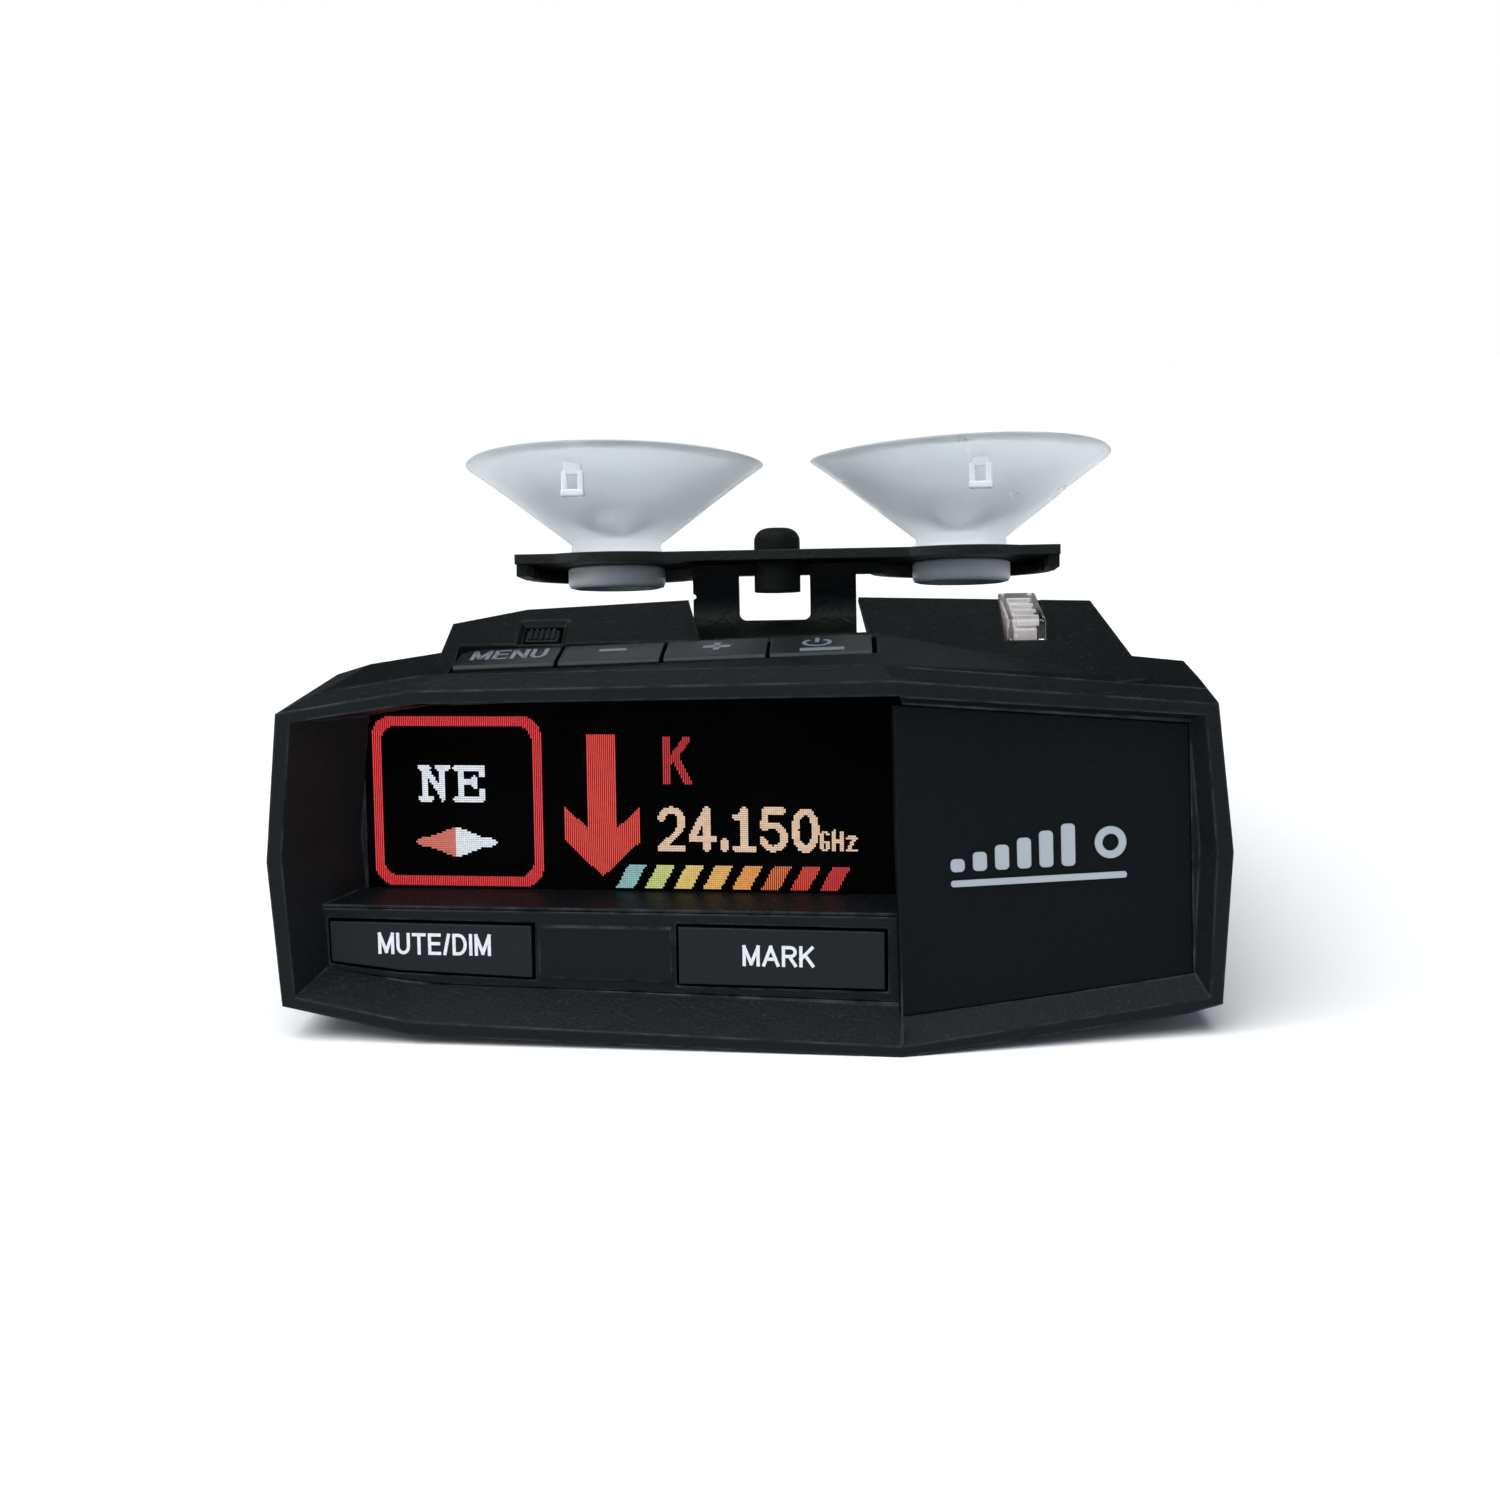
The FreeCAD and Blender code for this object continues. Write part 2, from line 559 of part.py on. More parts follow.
def grown(outline, gap):
    """Outline moved outwards from its middle by a gap on each side."""
    cx = (min(x for x, z in outline) + max(x for x, z in outline)) / 2
    cz = (min(z for x, z in outline) + max(z for x, z in outline)) / 2
    return [(x + math.copysign(gap, x - cx), z + math.copysign(gap, z - cz)) for x, z in outline]


def key_bar():
    """Bar below the window that frames the two front keys."""
    y0 = KEY_DEPTH
    outline = [(-56.9, 6.4), (-45.0, 5.1), (-0.6, 4.3), (-0.6, SHELF_Z - 0.1), (-56.9, SHELF_Z - 0.1)]
    bar = local_prism(outline, y0, y0 + 1.6)
    shelf = box(-56.9, -0.6, y0, WINDOW_DEPTH - 0.1, SHELF_Z - 1.1, SHELF_Z - 0.1)
    bar = bar.fuse(shelf)
    bar = bar.fuse(local_prism(BLANK_OUTLINE, y0 - 0.25, y0 + 0.2))
    for key in (MUTE_OUTLINE, MARK_OUTLINE):
        bar = bar.cut(local_prism(grown(key, MOVE_GAP), y0 - 1, y0 + 1.7))
    return placed(bar, LEFT)


def front_key(outline):
    """Front key with a flange behind the bar and a stem to its switch."""
    y0 = KEY_DEPTH - KEY_PROUD
    cap = local_prism(outline, y0, KEY_DEPTH + 2.2)
    x0 = min(x for x, z in outline)
    x1 = max(x for x, z in outline)
    end = SWITCH_DEPTH - 1.0 - KEY_TRAVEL - 0.2
    stem = box((x0 + x1) / 2 - 1.5, (x0 + x1) / 2 + 1.5, KEY_DEPTH + 2.1, end, 7.2, 10.0)
    return placed(cap.fuse(stem), LEFT)


def front_switch_board():
    """Board behind the two front keys."""
    y0 = SWITCH_DEPTH
    return placed(box(-54.5, -2.0, y0, y0 + BOARD_THICK - 0.2, 6.9, SHELF_Z - 1.3), LEFT)


def dome_switch():
    """Small push switch standing on its board, pushed along +y towards it."""
    base = box(-2.0, 2.0, -0.7, 0, -2.0, 2.0)
    return base.fuse(Part.makeCylinder(0.9, 0.4, V(0, -1.0, 0), V(0, 1, 0)))


def front_switches():
    """Switches under the front keys."""
    y0 = SWITCH_DEPTH
    out = []
    for outline in (MUTE_OUTLINE, MARK_OUTLINE):
        x = (min(p[0] for p in outline) + max(p[0] for p in outline)) / 2
        out.append(placed(placed(dome_switch(), FreeCAD.Placement(V(x, y0, 9.0), FreeCAD.Rotation())), LEFT))
    return Part.makeCompound(out)


def top_key(index):
    """One of the four keys on top, with its stem."""
    x = (index - 1.5) * TOP_KEY_PITCH
    half = TOP_KEY_WIDTH / 2
    z1 = KEY_PROUD
    cap = box(x - half, x + half, 0, TOP_KEY_LONG, z1 - TOP_KEY_THICK, z1)
    if index == 0:
        corner = [e for e in cap.Edges if e.Length < 2 and e.Vertexes[0].X < x and e.Vertexes[0].Y > 1]
        cap = cap.makeFillet(2.2, corner)
    front = [e for e in cap.Edges if e.BoundBox.ZMin > z1 - 0.01 and e.BoundBox.YMax < 0.01]
    cap = cap.makeChamfer(0.3, front)
    stem = box(x - 1.2, x + 1.2, 2.2, 4.6, z1 - TOP_KEY_THICK - 0.4, z1 - TOP_KEY_THICK + 0.2)
    return placed(cap.fuse(stem), DECK)


def top_switch_board():
    """Thin flexible board under the row of keys on top."""
    z0 = TOP_BOARD_Z
    y1 = CHANNEL_DEPTH - WALL - TOP_ROW_DEPTH - 0.6
    return placed(box(-ROW_HALF, ROW_HALF, 1.4, y1, z0, z0 + TOP_BOARD_THICK), DECK)


def top_switches():
    """Dome switches that stand on the flexible board in holes of the pocket floor."""
    z0 = TOP_BOARD_Z + TOP_BOARD_THICK
    out = []
    for i in range(4):
        x = (i - 1.5) * TOP_KEY_PITCH
        base = box(x - 1.9, x + 1.9, 1.5, 5.3, z0, z0 + 0.6)
        out.append(placed(base.fuse(Part.makeCylinder(0.9, 0.4, V(x, 3.4, z0 + 0.5))), DECK))
    return Part.makeCompound(out)


def release_slider():
    """Ribbed slider in the left hump that frees the bracket."""
    body = box(-1.6, 1.6, 0.6, 2.6, -1.6, -0.2)
    for i in range(5):
        x = -1.3 + 0.56 * i
        body = body.fuse(box(x, x + 0.3, 0.7, 2.5, -0.3, 0.1))
    body = body.fuse(box(-1.0, 1.0, 1.0, 2.2, -3.4, -1.5))
    foot = box(-3.0, 3.0, 0.4, 2.8, -4.4, -3.3)
    return placed(body.fuse(foot), SLIDER)


def rear_lens():
    """Clear lens on the right hump."""
    solid = lens_block(0)
    edges = [e for e in solid.Edges if e.BoundBox.ZMin > 37 and e.BoundBox.XLength < 0.1]
    return solid.makeChamfer(0.35, edges)


def rear_sensor():
    """Laser sensor below the clear lens."""
    base = block(25.4, 28.7, 17.5, 23.5, 32.2, 33.2)
    return base.fuse(Part.makeCylinder(1.2, 0.5, at(27.05, 20.5, 33.1)))


def bracket_rails():
    """Pair of rails that hold the bracket's tongue in the channel."""
    half = TONGUE_WIDTH / 2 + MOVE_GAP
    top = LEG_FOOT_Z + SHEET + MOVE_GAP
    rails = []
    for s in (-1, 1):
        x = MOUNT_X + s * half
        wall = block(min(x, x + s * 0.9), max(x, x + s * 0.9), 24, 48.5, CHANNEL_FLOOR, top + 0.8)
        lip = block(min(x - s * 1.2, x + s * 0.9), max(x - s * 1.2, x + s * 0.9), 24, 48.5, top, top + 0.8)
        rails.append(wall.fuse(lip))
    return Part.makeCompound(rails)


def main_board():
    """Main circuit board on the posts of the lower housing."""
    half = WIDTH / 2 - 8.0
    board = block(-half, half, 27, 110, BOARD_Z + 0.1, BOARD_Z + 0.1 + BOARD_THICK)
    for x, d in screw_places():
        board = board.cut(Part.makeCylinder(1.5, 10, at(x, d, BOARD_Z - 2)))
    top = BOARD_Z + 0.1 + BOARD_THICK
    chips = [(-30, 42, 9, 9), (-16, 60, 7, 7), (22, 40, 12, 8), (26, 70, 6, 9)]
    for x, d, wide, long in chips:
        board = board.fuse(block(x, x + wide, d, d + long, top - 0.1, top + 1.2))
    return board


def rf_shield():
    """Screening can over the radio section."""
    top = BOARD_Z + 0.2 + BOARD_THICK
    can = block(-12, 18, 72, 92, top, top + 4.0)
    can = can.cut(block(-11.6, 17.6, 72.4, 91.6, top - 1, top + 3.6))
    for i in range(4):
        can = can.cut(Part.makeCylinder(0.8, 3, at(-6 + 6 * i, 82, top + 2)))
    return can


def horn(x, d0, d1, wide0, wide1, z0, z1, high0):
    """Flared antenna horn open at its wide end."""
    def ring(shrink):
        zc = (z0 + z1) / 2
        near = [at(x - wide0 / 2 + shrink, d0, zc - high0 / 2 + shrink),
                at(x + wide0 / 2 - shrink, d0, zc - high0 / 2 + shrink),
                at(x + wide0 / 2 - shrink, d0, zc + high0 / 2 - shrink),
                at(x - wide0 / 2 + shrink, d0, zc + high0 / 2 - shrink)]
        far = [at(x - wide1 / 2 + shrink, d1, z0 + shrink), at(x + wide1 / 2 - shrink, d1, z0 + shrink),
               at(x + wide1 / 2 - shrink, d1, z1 - shrink), at(x - wide1 / 2 + shrink, d1, z1 - shrink)]
        wires = [Part.makePolygon(near + [near[0]]), Part.makePolygon(far + [far[0]])]
        return Part.makeLoft(wires, True, True)
    return ring(0).cut(ring(0.8))


def forward_horn():
    """Horn that looks out of the road end."""
    return horn(2, 93, 111, 9, 28, 12.4, 18.2, 4.4)


def rearward_horn():
    """Horn that looks back past the display."""
    return horn(-2, 60, 34, 9, 24, 14.6, 25.6, 6)


def forward_window():
    """Dark window across the road end."""
    pane = block(-26, 30, LENGTH - 2.2, LENGTH - 0.2, 5, ROAD_WINDOW_TOP)
    return pane.fuse(block(-24, 28, LENGTH - 4.4, LENGTH - 2.1, 7, ROAD_WINDOW_TOP - 2))


def laser_receiver():
    """Laser receiver beside the forward horn."""
    can = block(19.5, 27, 98, 108, 12.4, 17.4)
    return can.fuse(Part.makeCylinder(2.4, 3, at(23.2, 107.5, 14.9), V(0, 1, 0)))


def speaker():
    """Small loudspeaker above the grille."""
    rim = Part.makeCylinder(8.2, 3.6, at(21, 54, WALL + 0.1))
    rim = rim.cut(Part.makeCylinder(7.2, 1.2, at(21, 54, WALL)))
    magnet = Part.makeCylinder(4.4, 2.4, at(21, 54, WALL + 3.6))
    return rim.fuse(magnet)


def gps_antenna():
    """Ceramic patch antenna on the main board."""
    top = BOARD_Z + 0.2 + BOARD_THICK
    patch = block(-34, -18, 70, 86, top, top + 3.6)
    return patch.fuse(block(-32, -20, 72, 84, top + 3.6, top + 3.8))


def power_socket():
    """Modular power socket in the left wall."""
    x = POWER_FACE
    body = block(x, x + 4.4, POWER_DEPTH - 5.0, POWER_DEPTH + 5.0, 5.8, 13.2)
    back = block(x + 4.3, x + 10.6, POWER_DEPTH - 5.0, POWER_DEPTH + 5.0, 5.8, 9.4)
    body = body.fuse(back)
    return body.cut(block(x - 1, x + 3.2, POWER_DEPTH - 3.9, POWER_DEPTH + 3.9, 6.8, 12.2))


def audio_jack():
    """Round audio socket in the left wall."""
    x = AUDIO_FACE
    barrel = Part.makeCylinder(3.0, 8.4, at(x, AUDIO_DEPTH, 11.9), V(1, 0, 0))
    body = barrel.cut(block(x + 6.1, x + 14, AUDIO_DEPTH - 6, AUDIO_DEPTH + 6, 5, 11.3))
    return body.cut(Part.makeCylinder(1.8, 7.0, at(x - 1.1, AUDIO_DEPTH, 11.9), V(1, 0, 0)))


def data_port():
    """Small data socket in the left wall."""
    x = DATA_FACE
    shell = block(x, x + 5.9, DATA_DEPTH - 4.0, DATA_DEPTH + 4.0, 11.2, 13.4)
    return shell.cut(block(x - 1, x + 5.1, DATA_DEPTH - 3.5, DATA_DEPTH + 3.5, 11.6, 13.0))


def housing_screws():
    """Four case screws with cross recesses."""
    out = []
    for x, d in screw_places():
        head = Part.makeCylinder(2.4, 1.2, at(x, d, 0.4))
        head = head.cut(block(x - 0.3, x + 0.3, d - 1.3, d + 1.3, 0, 1.0))
        head = head.cut(block(x - 1.3, x + 1.3, d - 0.3, d + 0.3, 0, 1.0))
        out.append(head.fuse(Part.makeCylinder(1.2, 10.4, at(x, d, 1.5))))
    return Part.makeCompound(out)


def label_plate():
    """Blank label let into the underside."""
    return block(-25.9, 5.9, 36.1, 65.9, 0.05, 0.35)


def plate_frame():
    """Frame of the bracket plate: y to the back edge, z towards the cups."""
    turn = FreeCAD.Rotation(V(1, 0, 0), -BRACKET_TILT)
    return FreeCAD.Placement(at(MOUNT_X, PLATE_DEPTH, PLATE_Z), turn)


PLATE = plate_frame()


def plate_outline(shrink):
    """Flat outline of the bracket plate as one solid slab seen from the cups."""
    half = PLATE_WIDTH / 2
    bar = box(PLATE_SHIFT - half + shrink, PLATE_SHIFT + half - shrink, shrink, 8.6 - shrink, -5, 5)
    solid = bar
    for x in CUP_X:
        solid = solid.fuse(Part.makeCylinder(PAD_RADIUS - shrink, 10, V(x, PAD_Y, -5)))
    return solid


def mount_bracket():
    """Plate with two pads, a pair of legs and the tongue that enters the case."""
    slab = plate_outline(0).common(box(-60, 60, -2, 40, -PLATE_THICK, 0))
    skirt = plate_outline(0).cut(plate_outline(1.2))
    skirt = skirt.common(box(-60, 60, 1.3, 40, -PLATE_THICK - 1.3, -PLATE_THICK + 0.2))
    plate = slab.fuse(skirt)
    for x in CUP_X:
        plate = plate.cut(Part.makeCylinder(4.1, 10, V(x, PAD_Y, -5)))
    plate = plate.cut(Part.makeCylinder(BUMPER_RADIUS - 0.6, 10, V(BUMPER_X, 3.6, -5)))
    legs = bracket_legs()
    return placed(plate, PLATE).fuse(legs).removeSplitter()


def bracket_legs():
    """Legs from the plate down to the tongue, bent forward at the foot."""
    bend = LEG_BEND
    y1 = LEG_DEPTH
    z_bend = LEG_FOOT_Z + bend
    x0 = MOUNT_X - LEG_SPAN / 2
    x1 = MOUNT_X + LEG_SPAN / 2
    upright = block(x0, x1, y1 - SHEET, y1, z_bend, PLATE_Z - 2.2)
    ring = Part.makeCylinder(bend, x1 - x0, at(x0, y1 - bend, z_bend), V(1, 0, 0))
    ring = ring.cut(Part.makeCylinder(bend - SHEET, x1 - x0, at(x0, y1 - bend, z_bend), V(1, 0, 0)))
    ring = ring.common(block(x0, x1, y1 - bend, y1, z_bend - bend, z_bend))
    sheet = upright.fuse(ring)
    hole = rounded(x0 + LEG_WIDTH, x1 - LEG_WIDTH, 0, 20, 0, 5.8, 0.8)
    hole.translate(at(0, y1 - 12, 33.1))
    sheet = sheet.cut(hole)
    notch = Part.makeCylinder(0.35, 20, at(x0, y1 - 12, 36.0), V(0, 1, 0))
    sheet = sheet.cut(notch)
    half = TONGUE_WIDTH / 2
    z0 = LEG_FOOT_Z
    cross = block(x0, x1, 50.4, y1 - bend + 0.5, z0, z0 + SHEET)
    tongue = block(MOUNT_X - half, MOUNT_X + half, CHANNEL_DEPTH + 0.5, 51.0, z0, z0 + SHEET)
    catch = block(MOUNT_X - 1.5, MOUNT_X + 1.5, 24, 27, z0 - 1, z0 + 3)
    return sheet.fuse([cross, tongue.cut(catch)])


def bracket_bumper():
    """Rubber bumper through the middle of the plate."""
    r = BUMPER_RADIUS
    head = Part.makeCylinder(r, 2.6, V(0, 0, 0.05))
    head = head.makeFillet(1.5, [e for e in head.Edges if e.BoundBox.ZMin > 2.6])
    neck = Part.makeCylinder(r - 0.7, PLATE_THICK + 0.4, V(0, 0, -PLATE_THICK - 0.2))
    foot = Part.makeCylinder(r, 3.4, V(0, 0, -PLATE_THICK - 0.05 - 3.4))
    solid = head.fuse([neck, foot])
    solid.translate(V(BUMPER_X, 3.6, 0))
    return placed(solid, PLATE)


def suction_cup(side):
    """Soft clear cup with its neck through the plate and a pull tab on the rim."""
    h = CUP_HEIGHT
    big = CUP_RADIUS
    nub = 5.6
    points = [V(0, 0, -3.2), V(nub - 1.4, 0, -3.6), V(nub - 0.2, 0, -3.6), V(nub, 0, -3.3),
              V(nub, 0, -PLATE_THICK - 0.05), V(4.0, 0, -PLATE_THICK - 0.05), V(4.0, 0, 0.05),
              V(5.3, 0, 0.05), V(5.2, 0, 1.6)]
    outer = [V(5.2, 0, 1.6), V(9.6, 0, 5.2), V(big, 0, h + 1.4)]
    inner = [V(big - 0.5, 0, h + 1.7), V(9.2, 0, 6.9), V(0, 0, 3.6)]
    edges = Part.makePolygon(points).Edges
    edges.append(Part.Arc(*outer).toShape())
    edges.append(Part.makeLine(outer[-1], inner[0]))
    edges.append(Part.Arc(*inner).toShape())
    edges.append(Part.makeLine(inner[-1], points[0]))
    cup = Part.Face(Part.Wire(edges)).revolve(V(0, 0, 0), V(0, 0, 1), 360)
    lean = -2.0 if side == "left" else 1.6
    tab = rounded(lean - 1.4, lean + 1.4, -big - 0.5, -big + 0.7, h - 3.4, h + 1.9, 0.5)
    cup = cup.fuse(tab)
    x = CUP_X[0] if side == "left" else CUP_X[1]
    cup.translate(V(x, PAD_Y, 0))
    return placed(cup, PLATE)


NODES = {
    "front_bezel": front_bezel,
    "upper_housing": upper_housing,
    "lower_housing": lower_housing,
    "display_window": display_window,
    "oled_panel": oled_panel,
    "display_board": display_board,
    "side_panel": side_panel,
    "panel_mark": panel_mark,
    "key_bar": key_bar,
    "mute_button": lambda: front_key(MUTE_OUTLINE),
    "mark_button": lambda: front_key(MARK_OUTLINE),
    "front_switch_board": front_switch_board,
    "front_switches": front_switches,
    "menu_button": lambda: top_key(0),
    "minus_button": lambda: top_key(1),
    "plus_button": lambda: top_key(2),
    "power_button": lambda: top_key(3),
    "top_switch_board": top_switch_board,
    "top_switches": top_switches,
    "release_slider": release_slider,
    "bracket_rails": bracket_rails,
    "rear_lens": rear_lens,
    "rear_sensor": rear_sensor,
    "main_board": main_board,
    "rf_shield": rf_shield,
    "forward_horn": forward_horn,
    "rearward_horn": rearward_horn,
    "forward_window": forward_window,
    "laser_receiver": laser_receiver,
    "speaker": speaker,
    "gps_antenna": gps_antenna,
    "power_socket": power_socket,
    "audio_jack": audio_jack,
    "data_port": data_port,
    "housing_screws": housing_screws,
    "label_plate": label_plate,
    "mount_bracket": mount_bracket,
    "bracket_bumper": bracket_bumper,
    "left_suction_cup": lambda: suction_cup("left"),
    "right_suction_cup": lambda: suction_cup("right"),
}

for name, make in NODES.items():
    make().exportStep("parts/" + name + ".step")
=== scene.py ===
"""Looks of a windscreen radar detector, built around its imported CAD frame.

The case, keys and bracket are the CAD solids with moulded, coated and clear
finishes. The lit display, the legends, the suction cups, the socket contacts
and the other fine details are pieces made here.
"""

import logging
import math
from collections.abc import Callable, Iterable
from dataclasses import dataclass, field
from enum import Enum

import bmesh
import bpy
from mathutils import Matrix, Vector


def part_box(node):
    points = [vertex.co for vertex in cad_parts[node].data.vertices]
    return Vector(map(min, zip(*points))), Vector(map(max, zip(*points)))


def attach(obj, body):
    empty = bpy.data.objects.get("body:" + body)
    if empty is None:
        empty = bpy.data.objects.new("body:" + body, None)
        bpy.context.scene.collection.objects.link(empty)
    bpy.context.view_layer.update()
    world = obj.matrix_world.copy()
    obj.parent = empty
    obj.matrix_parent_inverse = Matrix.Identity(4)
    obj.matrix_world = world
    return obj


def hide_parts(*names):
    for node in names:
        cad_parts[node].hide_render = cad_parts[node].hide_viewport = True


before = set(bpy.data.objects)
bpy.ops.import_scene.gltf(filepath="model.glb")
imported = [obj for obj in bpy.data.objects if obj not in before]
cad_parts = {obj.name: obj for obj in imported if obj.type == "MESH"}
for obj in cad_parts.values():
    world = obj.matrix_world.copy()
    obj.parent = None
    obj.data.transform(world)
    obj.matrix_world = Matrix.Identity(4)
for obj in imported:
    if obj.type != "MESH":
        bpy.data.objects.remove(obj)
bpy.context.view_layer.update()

MM = 0.001
LOG = logging.getLogger("detector")
Colour = tuple[float, float, float]
Point = tuple[float, float]


class Body(str, Enum):
    """Bodies of the detector that pieces ride on."""

    CASE = "case"
    MUTE = "mute_key"
    MARK = "mark_key"
    MENU = "menu_key"
    MINUS = "minus_key"
    PLUS = "plus_key"
    POWER = "power_key"
    RELEASE = "release"
    MOUNT = "mount"


class Relief(Enum):
    """Kinds of fine surface relief a finish can have."""

    SPARK = "spark"
    SATIN = "satin"
    CRINKLE = "crinkle"


@dataclass(frozen=True)
class Seat:
    """A flat place on the detector, in millimetres.

    Attributes:
        base: Its corner.
        along: The direction of its x axis.
        rising: A direction that its depth axis is square to, together with along.
        inset: How far it lies behind its corner, along the depth axis.
        outward: True to let its third axis point out of the face, against the depth axis.
    """

    base: tuple[float, float, float]
    along: tuple[float, float, float]
    rising: tuple[float, float, float]
    inset: float = 0.0
    outward: bool = False

    def matrix(self) -> Matrix:
        """Works out the seat's place and turn.

        Returns:
            A matrix from local metres to the frame.
        """
        x = Vector(self.along).normalized()
        y = Vector(self.rising).cross(x).normalized()
        z = x.cross(y)
        base = Vector(self.base) + y * self.inset
        columns = (x, z, -y) if self.outward else (x, y, z)
        turn = Matrix([[column[i] for column in columns] for i in range(3)])
        return Matrix.Translation(base * MM) @ turn.to_4x4()


FACE_CORNER = (14.5, -59.0, 0.0)
FACE_ALONG = (60.0, -5.9, 0.0)
FACE_RISING = (-0.2, 3.0, 34.5)
KEY_FACE_DEPTH = 3.7
DECK_SLOPE = math.tan(math.radians(5.0))
PLATE_SLOPE = math.tan(math.radians(10.0))

LEFT_FACET = Seat(FACE_CORNER, FACE_ALONG, FACE_RISING)
KEY_FACE = Seat(FACE_CORNER, FACE_ALONG, FACE_RISING, KEY_FACE_DEPTH, outward=True)
KEY_DECK = Seat((-7.5, -48.6, 35.53), (42.8, 0.0, 0.95), (0.0, -DECK_SLOPE, 1.0))
BRACKET_PLATE = Seat((1.5, -9.0, 42.0), (1.0, 0.0, 0.0), (0.0, PLATE_SLOPE, 1.0))
LEVEL = Seat((0.0, 0.0, 0.0), (1.0, 0.0, 0.0), (0.0, 0.0, 1.0))


# ---------------------------------------------------------------- node trees


def put(
    tree: bpy.types.NodeTree, kind: str, inputs: dict | None = None, **settings: object
) -> bpy.types.Node:
    """Adds a node and fills its inputs.

    Args:
        tree: The node tree.
        kind: Blender's name of the node type.
        inputs: Values or output sockets for the node's inputs, by name or number.
        **settings: Properties of the node itself.

    Returns:
        The new node.
    """
    node = tree.nodes.new(kind)
    for name, value in settings.items():
        setattr(node, name, value)
    for name, value in (inputs or {}).items():
        if isinstance(value, bpy.types.NodeSocket):
            tree.links.new(value, node.inputs[name])
        else:
            node.inputs[name].default_value = value
    return node


def maths(
    tree: bpy.types.NodeTree, operation: str, a: object, b: object = 0.0, clamp: bool = False
) -> bpy.types.NodeSocket:
    """Adds a Math node.

    Args:
        tree: The node tree.
        operation: The operation.
        a: First value or socket.
        b: Second value or socket.
        clamp: True to keep the result between 0 and 1.

    Returns:
        The node's output socket.
    """
    return put(tree, "ShaderNodeMath", {0: a, 1: b}, operation=operation, use_clamp=clamp).outputs[0]


def new_group(
    name: str, inputs: dict[str, float], outputs: dict[str, str]
) -> tuple[bpy.types.NodeTree, bpy.types.Node, bpy.types.Node]:
    """Starts a shader node group.

    Args:
        name: The group's name.
        inputs: Default value of each float input.
        outputs: Socket type of each output.

    Returns:
        The tree, its input node and its output node.
    """
    tree = bpy.data.node_groups.new(name, "ShaderNodeTree")
    for label, value in inputs.items():
        tree.interface.new_socket(
            label, in_out="INPUT", socket_type="NodeSocketFloat"
        ).default_value = value
    for label, kind in outputs.items():
        tree.interface.new_socket(label, in_out="OUTPUT", socket_type=kind)
    return tree, tree.nodes.new("NodeGroupInput"), tree.nodes.new("NodeGroupOutput")


